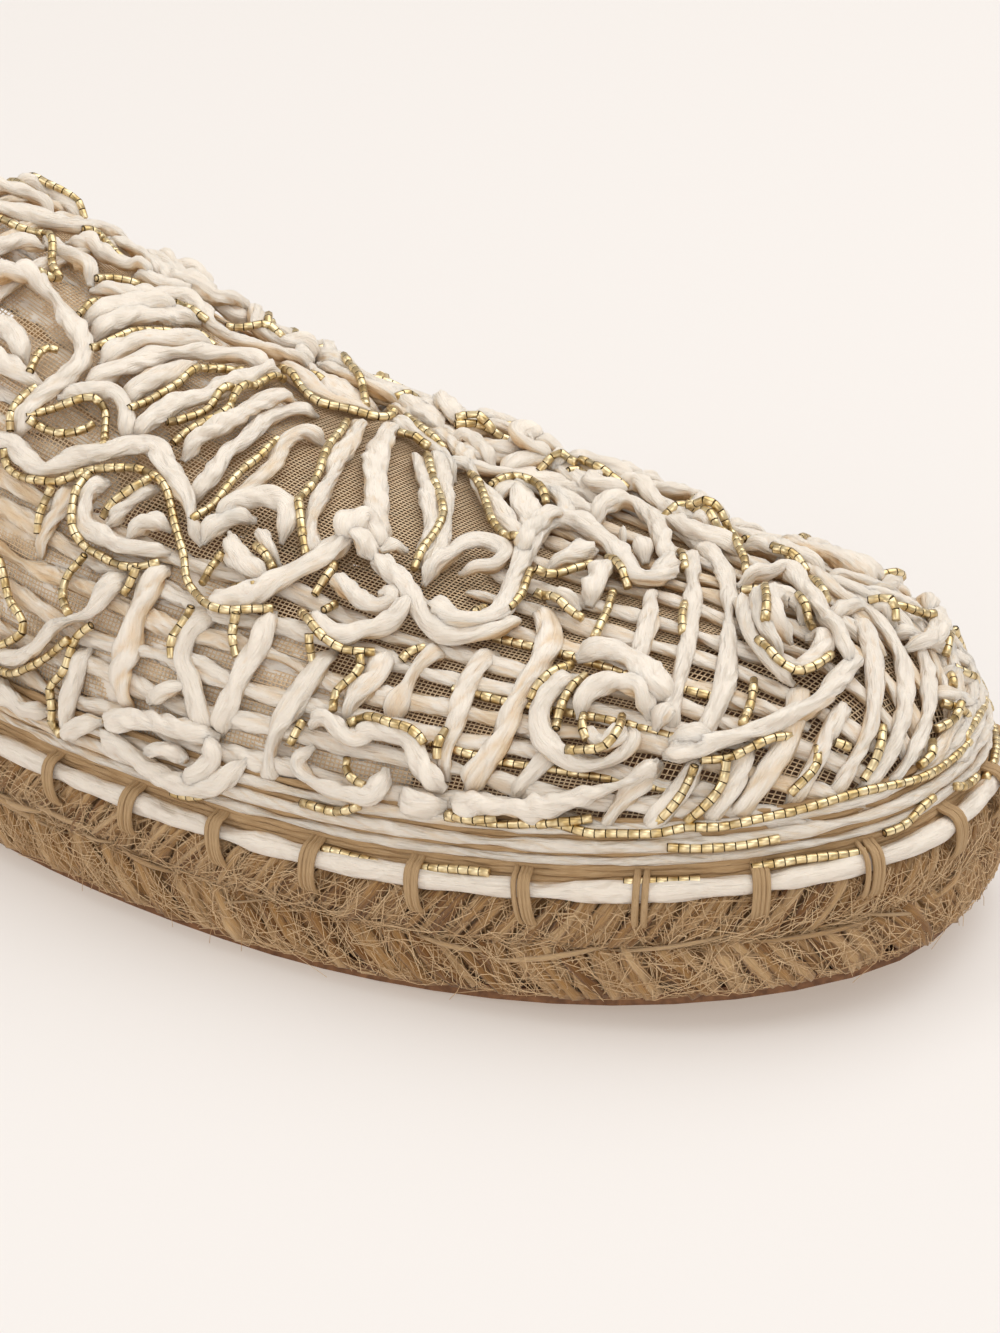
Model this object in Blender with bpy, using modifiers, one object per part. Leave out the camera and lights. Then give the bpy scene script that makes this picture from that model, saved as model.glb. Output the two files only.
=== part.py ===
"""Espadrille mule for the right foot, standing empty on its sole.

Metres, +Z up, +X towards the toe, -Y the outer side of the foot. A thin rubber outsole carries a
braided jute sole and an insole. The upper is an openwork raffia shell, open at the back and
underneath, with a ribbed band at its foot. An edge cord runs along the seam between upper and sole,
and raffia garlands, scrolls and a flower lie on the upper.
"""

import bmesh
import bpy
import numpy as np

MM = 0.001
OBJECT_NAME = "espadrille_mule"

# Driving sizes of the whole shoe
LENGTH = 250 * MM
SOLE_TOP = 14 * MM          # floor to the top of the jute
GAP = 0.3 * MM              # between pieces that meet
TOE_SPRING = 5 * MM         # rise of the sole's underside at the tip
ARCH_RISE = 1.5 * MM        # rise of the sole's underside at the arch
ARCH_FROM = 0.22            # the arch starts at this fraction of the length from the heel
ARCH_TO = 0.62
SPRING_FROM = 0.73
TIP_SHIFT = 4 * MM          # how far the toe's tip leans to the inner side
TIP_FROM = 0.6

# Fineness of the measured curves, and small steps
OUTLINE_STEPS = 1200
FEATHER_STEPS = 400
EDGE_STEPS = 800
GARLAND_STEPS = 240
SCROLL_STEPS = 90
NUDGE = 1e-3                # step over which a slope is taken
WELD = 0.02 * MM            # points nearer than this become one

# Plan of the sole: fraction of the length from the heel, outer half width, inner half width (mm)
PLAN = np.array([
    (0.000, 0.0, 0.0),
    (0.030, 18.0, 18.0),
    (0.100, 29.2, 29.0),
    (0.220, 33.0, 32.0),
    (0.360, 33.8, 29.0),
    (0.460, 36.5, 28.5),
    (0.560, 40.3, 32.5),
    (0.660, 41.5, 39.0),
    (0.740, 40.5, 43.2),
    (0.820, 37.0, 43.6),
    (0.890, 31.3, 39.8),
    (0.945, 23.2, 32.4),
    (0.980, 14.2, 21.6),
    (1.000, 0.0, 0.0),
])
PLAN_AT = PLAN[:, 0]
OUTER_HALF = PLAN[:, 1] * MM
INNER_HALF = PLAN[:, 2] * MM

# Ridge of the last: fraction of the length, height of the upper's skin over the sole's top (mm)
RIDGE = np.array([
    (0.28, 51.0),
    (0.40, 50.5),
    (0.50, 44.0),
    (0.60, 36.2),
    (0.70, 30.2),
    (0.80, 25.8),
    (0.88, 23.6),
    (0.95, 22.5),
])
RIDGE_AT = RIDGE[:, 0]
RIDGE_RISE = RIDGE[:, 1] * MM
RIDGE_PLACE = 0.53          # place of the ridge across the width, from the outer feather edge
RIDGE_BENDS_FROM = 0.74     # from here the upper's lines turn towards the end of the ridge
RIDGE_BENDS_TO = 0.96       # past here they all meet there, round the toe

# Section of the upper: exponents of its superellipse, across and upwards, at the back and the toe
ROUND_BACK = 2.3
ROUND_TOE = 2.4
CROWN_BACK = 2.15
CROWN_TOE = 2.1
SECTION_FROM = 0.45
SECTION_TO = 0.85
CLIMB_LEAST = 0.02          # the wall's normals are taken between these two climbs
CLIMB_MOST = 0.98
ON_RIDGE = 0.999            # climbs past this one lie on the ridge

# Outsole and insole
OUTSOLE_THICK = 1.7 * MM
OUTSOLE_INSET = 2 * MM
OUTSOLE_COLUMNS = 80
INSOLE_THICK = 1.5 * MM
INSOLE_INSET = 5.2 * MM
INSOLE_COLUMNS = 72

# Side of the jute sole, bottom to top: fraction of its height, inset of the braid's surface (mm)
BRAID = np.array([
    (0.00, 1.6),
    (0.14, 0.4),
    (0.32, 0.0),
    (0.50, 1.2),
    (0.68, 0.0),
    (0.86, 0.4),
    (1.00, 1.6),
])
BRAID_AT = BRAID[:, 0]
BRAID_INSET = BRAID[:, 1] * MM
BRAID_COLUMNS = 160         # strands and furrows in turn, all round the sole
BRAID_FURROW = 0.7 * MM
BRAID_LEAN = 1.4            # columns that a strand leans over half of the height

# Upper
FEATHER_INSET = 3 * MM      # the upper's skin inside the sole's outline, at the feather edge
WALL = 1.6 * MM
UPPER_BACK = 0.30           # back end of the upper at the feather edge
THROAT = 0.41               # back end of the upper on the ridge
BAND_TOP = 7.5 * MM         # top of the ribbed band over the sole
BAND_FOOT = 2.8 * MM        # flat foot of the band, behind the edge cord
BAND_RIBS = 2
STRIP_CREST = 1.2 * MM      # height of the strips that run across the foot
ROW_CREST = 0.8 * MM        # height of the rows that run along the foot
STRIPS = 14                 # strips on each side, from the back end to the tip
ROWS = 4                    # openings from the band up to the ridge
STRIP_SHARE = 0.42          # width of a strip over its pitch
ROW_SHARE = 0.40
SMALLEST_GAP = 4.5 * MM     # narrower openings round the toe stay closed
CREST_GONE = 0.5            # share of the strip beside such an opening at which its crest is gone
ARC_STEPS = 60

# Cords laid on the upper
EDGE_CORD_RADIUS = 1.25 * MM
EDGE_CORD_INSET = 1.3 * MM
EDGE_CORD_POINTS = 68
CORD_RESOLUTION = 1         # steps between the corners of a cord's section
TRIM_RADIUS = 1.4 * MM
TRIM_OUT = 3.0 * MM         # centre of a trim cord over the upper's skin
TRIM_STEP = 5 * MM

# Garland on each side: fraction of the length, distance up the wall from the sole (mm)
GARLAND = np.array([
    (0.440, 30.0),
    (0.500, 25.0),
    (0.552, 30.0),
    (0.586, 36.5),
    (0.625, 36.5),
    (0.662, 27.0),
    (0.705, 30.5),
    (0.728, 37.0),
    (0.770, 29.5),
    (0.815, 30.5),
    (0.820, 39.0),
])

# Scrolls on each side: fraction of the length, distance up the wall, outer radius (mm), turns
SCROLLS = np.array([
    (0.600, 17.0, 5.5, 1.2),
    (0.700, 16.5, 5.5, 1.2),
    (0.790, 16.5, 5.0, 1.1),
    (0.890, 18.5, 6.5, 1.4),
])
SCROLL_CORE = 1.9 * MM      # radius at the inner end of a scroll
SCROLL_STEP = 3.2 * MM
SCROLL_NEAR = 0.005         # stations to either side of a scroll's middle that give its scale

# Flower on the ridge
FLOWER_AT = 0.63
FLOWER_PETALS = 6
FLOWER_HEART = 5 * MM
FLOWER_REACH = 15 * MM
FLOWER_POINTS = 54
FLOWER_POINTED = 1.5        # the higher, the narrower its petals

# Finishes: colour (linear RGB), roughness
FINISHES = {
    "outsole": ((0.050, 0.022, 0.014), 0.80),
    "jute_sole": ((0.360, 0.225, 0.115), 0.95),
    "insole": ((0.330, 0.220, 0.135), 0.85),
    "upper": ((0.780, 0.720, 0.630), 0.60),
    "edge_cord": ((0.820, 0.790, 0.730), 0.50),
    "trim": ((0.830, 0.800, 0.740), 0.50),
}

OUTER = -1.0
INNER = 1.0


def angle_at(fraction):
    """Angle that places a fraction of the length on a half circle, heel 0 to toe pi."""
    return np.arccos(1 - 2 * np.clip(fraction, 0, 1))


def through(knots, values, at):
    """Smooth curve through a table: cubic pieces with slopes taken from the neighbouring rows."""
    slopes = np.gradient(values, knots)
    i = np.clip(np.searchsorted(knots, at) - 1, 0, len(knots) - 2)
    span = knots[i + 1] - knots[i]
    t = (at - knots[i]) / span
    rise = values[i] * (2 * t**3 - 3 * t**2 + 1) + values[i + 1] * (3 * t**2 - 2 * t**3)
    return rise + span * (slopes[i] * (t**3 - 2 * t**2 + t) + slopes[i + 1] * (t**3 - t**2))


def ease(x):
    """Smooth step from 0 to 1."""
    x = np.clip(x, 0, 1)
    return x * x * (3 - 2 * x)


def unit(vectors):
    """Vectors at length 1."""
    return vectors / np.linalg.norm(vectors, axis=-1, keepdims=True)


def lift(x):
    """Rise of the sole over the floor: flat under heel and ball, a low arch, a toe spring."""
    at = x / LENGTH + 0.5
    spring = np.clip((at - SPRING_FROM) / (1 - SPRING_FROM), 0, 1) ** 2
    arch = np.sin(np.pi * np.clip((at - ARCH_FROM) / (ARCH_TO - ARCH_FROM), 0, 1)) ** 2
    return TOE_SPRING * spring + ARCH_RISE * arch


def outline(side, angle):
    """Point of the sole's plan on one side."""
    at = (1 - np.cos(angle)) / 2
    axis = TIP_SHIFT * np.clip((at - TIP_FROM) / (1 - TIP_FROM), 0, 1) ** 2
    knots = angle_at(PLAN_AT)
    half = np.where(side < 0, through(knots, OUTER_HALF, angle), through(knots, INNER_HALF, angle))
    return np.stack([-LENGTH / 2 * np.cos(angle), axis + side * half], axis=-1)


def edge(side, angle, inset):
    """Point of the plan moved in along the normal."""
    side, angle = np.broadcast_arrays(np.asarray(side, float), np.asarray(angle, float))
    ahead = outline(side, np.clip(angle + NUDGE, 0, np.pi))
    behind = outline(side, np.clip(angle - NUDGE, 0, np.pi))
    along = ahead - behind
    out = unit(np.stack([-along[..., 1], along[..., 0]], axis=-1) * side[..., None])
    return outline(side, angle) - inset * out


def sole_ring(turns, inset):
    """Points at fractions of the way round the sole, from the heel along the outer side."""
    angle = np.linspace(0, np.pi, OUTLINE_STEPS)
    loop = np.concatenate([outline(np.full_like(angle, OUTER), angle),
                           outline(np.full_like(angle, INNER), angle)[-2:0:-1]])
    along = np.roll(loop, -1, axis=0) - np.roll(loop, 1, axis=0)
    out = unit(np.stack([along[:, 1], -along[:, 0]], axis=-1))
    closed = np.vstack([loop, loop[:1]])
    out = np.vstack([out, out[:1]])
    steps = np.linalg.norm(np.diff(closed, axis=0), axis=1)
    way = np.concatenate([[0.0], np.cumsum(steps)]) / steps.sum()
    at = np.mod(turns, 1.0)
    point = np.stack([np.interp(at, way, closed[:, k]) for k in range(2)], axis=-1)
    normal = np.stack([np.interp(at, way, out[:, k]) for k in range(2)], axis=-1)
    return point - np.asarray(inset)[..., None] * normal


def ridge_at(at):
    """Ridge station that a feather station rises to: its own along the sides, stopped at the toe."""
    span = RIDGE_BENDS_TO - RIDGE_BENDS_FROM
    t = np.clip((at - RIDGE_BENDS_FROM) / span, 0, 1)
    return np.where(at < RIDGE_BENDS_FROM, at, RIDGE_BENDS_FROM + span * (t - t * t / 2))


def ridge_point(at):
    """Point of the ridge at a station of its own."""
    angle = angle_at(at)
    outer = edge(np.full_like(angle, OUTER), angle, FEATHER_INSET)
    inner = edge(np.full_like(angle, INNER), angle, FEATHER_INSET)
    plan = outer + (inner - outer) * RIDGE_PLACE
    rise = SOLE_TOP + GAP + lift(plan[..., 0]) + through(RIDGE_AT, RIDGE_RISE, at)
    return np.concatenate([plan, rise[..., None]], axis=-1)


def skin(side, at, climb):
    """Point of the upper's skin: a side, a station on its feather edge, climb 0 there to 1 on top."""
    side, at, climb = np.broadcast_arrays(np.asarray(side, float), np.asarray(at, float),
                                          np.asarray(climb, float))
    foot = edge(side, angle_at(at), FEATHER_INSET)
    top_at = ridge_at(at)
    top = ridge_point(top_at)
    blend = ease((top_at - SECTION_FROM) / (SECTION_TO - SECTION_FROM))
    across = ROUND_BACK + (ROUND_TOE - ROUND_BACK) * blend
    upwards = CROWN_BACK + (CROWN_TOE - CROWN_BACK) * blend
    angle = np.pi / 2 * climb
    out = np.clip(np.cos(angle), 0, 1) ** (2 / across)
    up = np.clip(np.sin(angle), 0, 1) ** (2 / upwards)
    plan = top[..., :2] + (foot - top[..., :2]) * out[..., None]
    foot_z = SOLE_TOP + GAP + lift(foot[..., 0])
    z = foot_z + (top[..., 2] - foot_z) * up
    return np.concatenate([plan, z[..., None]], axis=-1)


def skin_normal(side, at, climb):
    """Outward normal of the upper's skin; on the ridge it lies in the ridge's own plane."""
    side, at, climb = np.broadcast_arrays(np.asarray(side, float), np.asarray(at, float),
                                          np.asarray(climb, float))
    inside = np.clip(climb, CLIMB_LEAST, CLIMB_MOST)
    ahead = skin(side, np.clip(at + NUDGE, 0, 1), inside)
    behind = skin(side, np.clip(at - NUDGE, 0, 1), inside)
    along = ahead - behind
    upward = skin(side, at, inside + NUDGE) - skin(side, at, inside - NUDGE)
    out = unit(np.cross(along, upward) * -side[..., None])
    top_at = ridge_at(at)
    slope = ridge_point(top_at + NUDGE) - ridge_point(top_at - NUDGE)
    top = unit(np.stack([-slope[..., 2], np.zeros_like(at), slope[..., 0]], axis=-1))
    return np.where((climb > ON_RIDGE)[..., None], top, out)


def wall_arc(side, at):
    """Distances up the wall at each station, for climbs from 0 to 1."""
    climb = np.linspace(0, 1, ARC_STEPS)
    wall = skin(side, np.asarray(at)[:, None], climb)
    steps = np.linalg.norm(np.diff(wall, axis=1), axis=-1)
    return climb, np.concatenate([np.zeros((len(steps), 1)), np.cumsum(steps, axis=1)], axis=1)


def climb_for(side, at, distance):
    """Climb that lies a given distance up the wall from the sole, station by station."""
    climb, arc = wall_arc(side, at)
    return np.array([np.interp(d, row, climb) for d, row in zip(distance, arc)])


def on_upper(side, at, distance, out):
    """Point over the upper, placed by station and distance up the wall."""
    climb = climb_for(side, at, distance)
    return skin(side, at, climb) + out * skin_normal(side, at, climb)


def make_collection(name):
    """New collection under the scene's own."""
    collection = bpy.data.collections.new(name)
    bpy.context.scene.collection.children.link(collection)
    return collection


def make_material(name):
    """Principled material of one finish."""
    colour, roughness = FINISHES[name]
    material = bpy.data.materials.new(name)
    material.use_nodes = True
    shader = material.node_tree.nodes["Principled BSDF"]
    shader.inputs["Base Color"].default_value = (*colour, 1.0)
    shader.inputs["Roughness"].default_value = roughness
    shader.inputs["Metallic"].default_value = 0.0
    return material


def add_object(name, data, material):
    """Object of the shoe, under the empty that carries all of them."""
    thing = bpy.data.objects.new(name, data)
    data.materials.append(material)
    shoe.objects.link(thing)
    thing.parent = carrier
    return thing


def loft(name, rings, material):
    """Closed solid through rings that run round the sole, bottom to top, with faces across its ends."""
    rows, count = rings.shape[:2]
    faces = []
    for r in range(rows - 1):
        for i in range(count):
            j = (i + 1) % count
            faces.append((r * count + i, r * count + j, (r + 1) * count + j, (r + 1) * count + i))
    last = (rows - 1) * count
    for i in range(count // 2):
        across = [i, i + 1, count - i - 1, (count - i) % count]
        across = list(dict.fromkeys(across))
        faces.append(tuple(reversed(across)))
        faces.append(tuple(last + k for k in across))
    mesh = bpy.data.meshes.new(name)
    mesh.from_pydata(rings.reshape(-1, 3).tolist(), [], faces)
    return add_object(name, mesh, material)


def slab(name, columns, inset, bottom, thick, material):
    """Flat layer of the sole that follows its outline and its rise over the floor."""
    plan = sole_ring(np.arange(columns) / columns, inset)
    z = lift(plan[:, 0]) + bottom
    rings = np.stack([np.column_stack([plan, z]), np.column_stack([plan, z + thick])])
    return loft(name, rings, material)


def make_jute_sole(material):
    """Braid on edge: two rows of leaning strands, a groove between them, furrows between strands."""
    column = np.arange(BRAID_COLUMNS)
    bottom = OUTSOLE_THICK + GAP
    rings = []
    for at, inset in zip(BRAID_AT, BRAID_INSET):
        lean = BRAID_LEAN * abs(2 * at - 1)
        plan = sole_ring((column + lean) / BRAID_COLUMNS, inset + BRAID_FURROW * (column % 2))
        z = lift(plan[:, 0]) + bottom + (SOLE_TOP - bottom) * at
        rings.append(np.column_stack([plan, z]))
    return loft("jute_sole", np.array(rings), material)


def strip_stations():
    """Stations of the strips' edges and crests along the feather edge, and what each one is."""
    at = 1 - np.linspace(np.sqrt(1 - UPPER_BACK), 0, FEATHER_STEPS) ** 2
    foot = np.mean([skin(side, at, 0.0) for side in (OUTER, INNER)], axis=0)
    foot[:, 1] = (skin(INNER, at, 0.0) - skin(OUTER, at, 0.0))[:, 1] / 2
    way = np.concatenate([[0.0], np.cumsum(np.linalg.norm(np.diff(foot, axis=0), axis=1))])
    pitch = way[-1] / (STRIPS + STRIP_SHARE / 2)
    starts = np.arange(STRIPS)[:, None] * pitch
    lines = (starts + np.array([0, STRIP_SHARE / 2, STRIP_SHARE]) * pitch).ravel()
    lines = np.concatenate([lines, [STRIPS * pitch, way[-1]]])
    crest = np.concatenate([np.tile([False, True, False], STRIPS), [False, True]])
    opens = np.concatenate([np.tile([False, False, True], STRIPS), [False]])
    return np.interp(lines, way, at), crest, opens


def row_levels(height):
    """Distances up the wall of the band's ribs and of the rows' edges and crests, for each station."""
    rib = (BAND_TOP - BAND_FOOT) / BAND_RIBS
    band = np.concatenate([[0.0], BAND_FOOT + rib / 2 * np.arange(2 * BAND_RIBS + 1)])
    band_crest = np.concatenate([[False], np.arange(2 * BAND_RIBS + 1) % 2 == 1])
    band_opens = np.full(len(band), False)
    band_opens[-1] = True
    parts = []
    for k in range(ROWS):
        parts += [k + 1 - ROW_SHARE, k + 1 - ROW_SHARE / 2, k + 1]
    parts = np.array(parts[:-1])
    row_crest = np.tile([False, True, False], ROWS)[:-1]
    row_opens = np.tile([False, False, True], ROWS)[:-2]
    share = parts / parts[-1]
    levels = np.concatenate([np.tile(band, (len(height), 1)),
                             BAND_TOP + (height - BAND_TOP)[:, None] * share], axis=1)
    return (levels, np.concatenate([band_crest, row_crest]),
            np.concatenate([band_opens, row_opens]), len(band))


def make_upper(material):
    """Openwork shell: strips over rows, the openings between them left out, then given its wall."""
    at, strip_crest, strip_opens = strip_stations()
    halves = []
    for side in (OUTER, INNER):
        height = wall_arc(side, at)[1][:, -1]
        levels, row_crest, row_opens, band_rows = row_levels(height)
        climb = climb_for(side, at, levels)
        climb[:, -1] = 1.0
        back = np.clip((RIDGE_BENDS_FROM - at) / (RIDGE_BENDS_FROM - UPPER_BACK), 0, 1)
        station = at[:, None] + (THROAT - UPPER_BACK) * back[:, None] * ease(levels / height[:, None])
        width = np.linalg.norm(np.diff(skin(side, station, climb), axis=0), axis=-1)
        width = np.vstack([width, width[-1:]])
        room = np.clip(width / (STRIP_SHARE * SMALLEST_GAP) - CREST_GONE, 0, 1)
        out = np.where(strip_crest[:, None], STRIP_CREST * room, 0.0)
        out[:, :band_rows] = 0.0
        out = np.maximum(out, np.where(row_crest, ROW_CREST, 0.0))
        out[:, -1] = ROW_CREST
        points = skin(side, station, climb) + out[..., None] * skin_normal(side, station, climb)
        halves.append((points, width))
    points = np.concatenate([halves[0][0], halves[1][0][-2::-1]])
    width = np.concatenate([halves[0][1][:-1], halves[1][1][-2::-1]])
    opens = np.concatenate([strip_opens, strip_opens[::-1]])
    columns, rows = points.shape[:2]
    faces = []
    for c in range(columns - 1):
        for r in range(rows - 1):
            narrowest = min(width[c, r], width[c, r + 1])
            if opens[c] and row_opens[r] and narrowest > SMALLEST_GAP:
                continue
            start = c * rows + r
            faces.append((start, start + rows, start + rows + 1, start + 1))
    form = bmesh.new()
    vertices = [form.verts.new(p) for p in points.reshape(-1, 3).tolist()]
    for face in faces:
        form.faces.new([vertices[k] for k in face])
    bmesh.ops.remove_doubles(form, verts=form.verts[:], dist=WELD)
    mesh = bpy.data.meshes.new("upper")
    form.to_mesh(mesh)
    form.free()
    upper = add_object("upper", mesh, material)
    wall = upper.modifiers.new("wall", "SOLIDIFY")
    wall.thickness = WALL
    wall.offset = -1.0
    return upper


def tube(name, points, radius, closed, material):
    """Round cord along a path, with its ends filled."""
    curve = bpy.data.curves.new(name, "CURVE")
    curve.dimensions = "3D"
    curve.bevel_depth = radius
    curve.bevel_resolution = CORD_RESOLUTION
    curve.use_fill_caps = True
    spline = curve.splines.new("POLY")
    spline.points.add(len(points) - 1)
    spline.points.foreach_set("co", np.column_stack([points, np.ones(len(points))]).ravel())
    spline.use_cyclic_u = closed
    return add_object(name, curve, material)


def make_edge_cord(material):
    """Cord in the seam between upper and sole, from the upper's outer end round to its inner end."""
    reach = np.sqrt(1 - UPPER_BACK)
    share = np.linspace(-reach, reach, EDGE_STEPS)
    side = np.where(share < 0, OUTER, INNER)
    plan = edge(side, angle_at(1 - share**2), EDGE_CORD_INSET)
    way = np.concatenate([[0.0], np.cumsum(np.linalg.norm(np.diff(plan, axis=0), axis=1))])
    even = np.linspace(0, way[-1], EDGE_CORD_POINTS)
    plan = np.stack([np.interp(even, way, plan[:, k]) for k in range(2)], axis=-1)
    z = SOLE_TOP + GAP + EDGE_CORD_RADIUS + lift(plan[:, 0])
    return tube("edge_cord", np.column_stack([plan, z]), EDGE_CORD_RADIUS, False, material)


def even_steps(points, step):
    """The same path with points about one step apart."""
    way = np.concatenate([[0.0], np.cumsum(np.linalg.norm(np.diff(points, axis=0), axis=1))])
    even = np.linspace(0, way[-1], int(round(way[-1] / step)) + 1)
    return np.stack([np.interp(even, way, points[:, k]) for k in range(3)], axis=-1)


def make_garland(name, side, material):
    """Waving cord along one side of the upper."""
    row = np.arange(len(GARLAND), dtype=float)
    fine = np.linspace(0, row[-1], GARLAND_STEPS)
    at = through(row, GARLAND[:, 0], fine)
    up = through(row, GARLAND[:, 1] * MM, fine)
    points = even_steps(on_upper(side, at, up, TRIM_OUT), TRIM_STEP)
    return tube(name, points, TRIM_RADIUS, False, material)


def make_scroll(name, side, at, up, radius, turns, material):
    """Spiral cord lying on one side of the upper."""
    turn = np.linspace(0, 2 * np.pi * turns, SCROLL_STEPS)
    reach = radius + (SCROLL_CORE - radius) * turn / turn[-1]
    near = on_upper(side, at + np.array([-SCROLL_NEAR, SCROLL_NEAR]), np.array([up, up]), TRIM_OUT)
    stretch = 2 * SCROLL_NEAR / np.linalg.norm(near[1] - near[0])
    points = on_upper(side, at + stretch * reach * np.cos(turn), up + reach * np.sin(turn), TRIM_OUT)
    return tube(name, even_steps(points, SCROLL_STEP), TRIM_RADIUS, False, material)


def make_flower(material):
    """Closed cord in petals round a point of the ridge."""
    turn = np.linspace(0, 2 * np.pi, FLOWER_POINTS, endpoint=False)
    petal = np.abs(np.cos(FLOWER_PETALS / 2 * turn)) ** FLOWER_POINTED
    reach = FLOWER_HEART + (FLOWER_REACH - FLOWER_HEART) * petal
    at = FLOWER_AT + reach * np.cos(turn) / LENGTH
    over = reach * np.sin(turn)
    points = np.zeros((FLOWER_POINTS, 3))
    for side in (OUTER, INNER):
        mine = over * side >= 0
        height = wall_arc(side, at[mine])[1][:, -1]
        points[mine] = on_upper(side, at[mine], height - np.abs(over[mine]), TRIM_OUT)
    return tube("flower", points, TRIM_RADIUS, True, material)


def stand_on_origin():
    """Bring the middle of the shoe's box over the origin, with its lowest point on the floor."""
    bpy.context.view_layer.update()
    corners = []
    graph = bpy.context.evaluated_depsgraph_get()
    for thing in shoe.objects:
        if thing.type == "EMPTY":
            continue
        mesh = thing.evaluated_get(graph).to_mesh()
        spots = np.empty(len(mesh.vertices) * 3, dtype=np.float32)
        mesh.vertices.foreach_get("co", spots)
        spots = spots.reshape(-1, 3)
        corners += [spots.min(axis=0), spots.max(axis=0)]
        thing.evaluated_get(graph).to_mesh_clear()
    low, high = np.min(corners, axis=0), np.max(corners, axis=0)
    carrier.location = (-(low[0] + high[0]) / 2, -(low[1] + high[1]) / 2, -low[2])


for old in list(bpy.data.objects):
    bpy.data.objects.remove(old, do_unlink=True)

shoe = make_collection(OBJECT_NAME)
carrier = bpy.data.objects.new("carrier", None)
shoe.objects.link(carrier)
finish = {name: make_material(name) for name in FINISHES}

slab("outsole", OUTSOLE_COLUMNS, OUTSOLE_INSET, 0.0, OUTSOLE_THICK, finish["outsole"])
make_jute_sole(finish["jute_sole"])
slab("insole", INSOLE_COLUMNS, INSOLE_INSET, SOLE_TOP + GAP, INSOLE_THICK, finish["insole"])
make_upper(finish["upper"])
make_edge_cord(finish["edge_cord"])
for side_name, side_sign in (("outer", OUTER), ("inner", INNER)):
    make_garland("garland_" + side_name, side_sign, finish["trim"])
    for number, (place, rise, size, turns) in enumerate(SCROLLS, start=1):
        make_scroll(f"scroll_{side_name}_{number}", side_sign, place, rise * MM, size * MM, turns,
                    finish["trim"])
make_flower(finish["trim"])
stand_on_origin()
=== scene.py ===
"""Looks of an espadrille mule for the right foot: braided jute sole, openwork raffia upper over tulle.

Metres, +Z up, +X towards the toe, -Y the outer side of the foot, standing on the floor z = 0.
"""

from collections import namedtuple

import bpy
import numpy as np
from mathutils import Matrix, Vector
from mathutils.bvhtree import BVHTree


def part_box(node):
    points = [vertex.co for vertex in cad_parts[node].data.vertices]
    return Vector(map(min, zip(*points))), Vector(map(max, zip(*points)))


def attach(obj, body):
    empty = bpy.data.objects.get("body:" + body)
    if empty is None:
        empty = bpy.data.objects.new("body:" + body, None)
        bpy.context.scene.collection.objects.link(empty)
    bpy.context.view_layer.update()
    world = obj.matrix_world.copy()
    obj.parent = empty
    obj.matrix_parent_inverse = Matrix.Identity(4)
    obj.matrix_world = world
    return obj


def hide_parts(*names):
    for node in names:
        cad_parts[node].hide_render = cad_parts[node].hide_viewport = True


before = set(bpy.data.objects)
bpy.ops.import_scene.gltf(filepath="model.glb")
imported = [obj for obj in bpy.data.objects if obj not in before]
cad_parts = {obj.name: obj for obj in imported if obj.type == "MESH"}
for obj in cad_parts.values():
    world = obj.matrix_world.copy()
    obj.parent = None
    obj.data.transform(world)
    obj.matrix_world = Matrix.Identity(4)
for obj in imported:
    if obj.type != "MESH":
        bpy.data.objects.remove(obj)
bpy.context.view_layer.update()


# Studio: a pale seamless sheet whose material glows by itself, painted light that lightens the
# shadows on it. A wide soft box hangs above and behind the shoe, weaker ones fill from the left and
# from the front, and the camera looks at the forefoot from the photograph's angle.
MM = 0.001
PHOTO_WIDTH, PHOTO_HEIGHT = 1000, 1333
FOCAL_PIXELS = 3825
SENSOR = 36
AIM = np.array([71.0, -10.7, 30.0]) * MM
AZIMUTH, ELEVATION = np.radians([39.0, 24.5])
DISTANCE = 450 * MM
CLIP_START = 10 * MM
FLOOR_REACH, FLOOR_ROUGHNESS = 4.0, 0.9
FLOOR_COLOUR = (0.475, 0.488, 0.508)
# painted light: the floor glows by itself, so the shadows cast on it stay light and warm
FLOOR_GLOW, GLOW_STRENGTH = (0.360, 0.304, 0.253), 1.0
SKY_COLOUR, SKY_STRENGTH = (1.0, 0.955, 0.900), 0.52
LAMP_COLOUR = (1.0, 0.990, 0.975)
SOFT_BOXES = {                      # place, width, power
    "key": ((0.25, 0.45, 1.15), 1.6, 14.5),
    "fill": ((-0.65, -0.95, 0.60), 0.8, 3.0),
    "front": ((0.75, -0.95, 0.50), 0.9, 4.0),
}

toward_camera = np.array([np.sin(AZIMUTH) * np.cos(ELEVATION),
                          -np.cos(AZIMUTH) * np.cos(ELEVATION), np.sin(ELEVATION)])
to_right = np.array([np.cos(AZIMUTH), np.sin(AZIMUTH), 0.0])
to_top = np.cross(toward_camera, to_right)
eye = AIM + DISTANCE * toward_camera
camera = bpy.data.objects.new("camera", bpy.data.cameras.new("camera"))
camera.data.sensor_width = SENSOR
camera.data.lens = FOCAL_PIXELS * SENSOR / PHOTO_HEIGHT
camera.data.clip_start = CLIP_START
camera_axes = np.column_stack([to_right, to_top, toward_camera, eye])
camera.matrix_world = Matrix([*camera_axes.tolist(), (0, 0, 0, 1)])
bpy.context.scene.collection.objects.link(camera)
bpy.context.scene.camera = camera
bpy.context.scene.view_settings.view_transform = "Standard"

world = bpy.data.worlds.new("studio")
bpy.context.scene.world = world
world.use_nodes = True
sky = world.node_tree.nodes["Background"]
sky.inputs["Color"].default_value = (*SKY_COLOUR, 1.0)
sky.inputs["Strength"].default_value = SKY_STRENGTH

for box_name, (place, width, power) in SOFT_BOXES.items():
    lamp = bpy.data.lights.new(box_name, "AREA")
    lamp.size = width
    lamp.energy = power
    lamp.color = LAMP_COLOUR
    soft_box = bpy.data.objects.new(box_name, lamp)
    soft_box.location = place
    soft_box.rotation_euler = (Vector(AIM) - Vector(place)).to_track_quat("-Z", "Y").to_euler()
    bpy.context.scene.collection.objects.link(soft_box)


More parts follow.
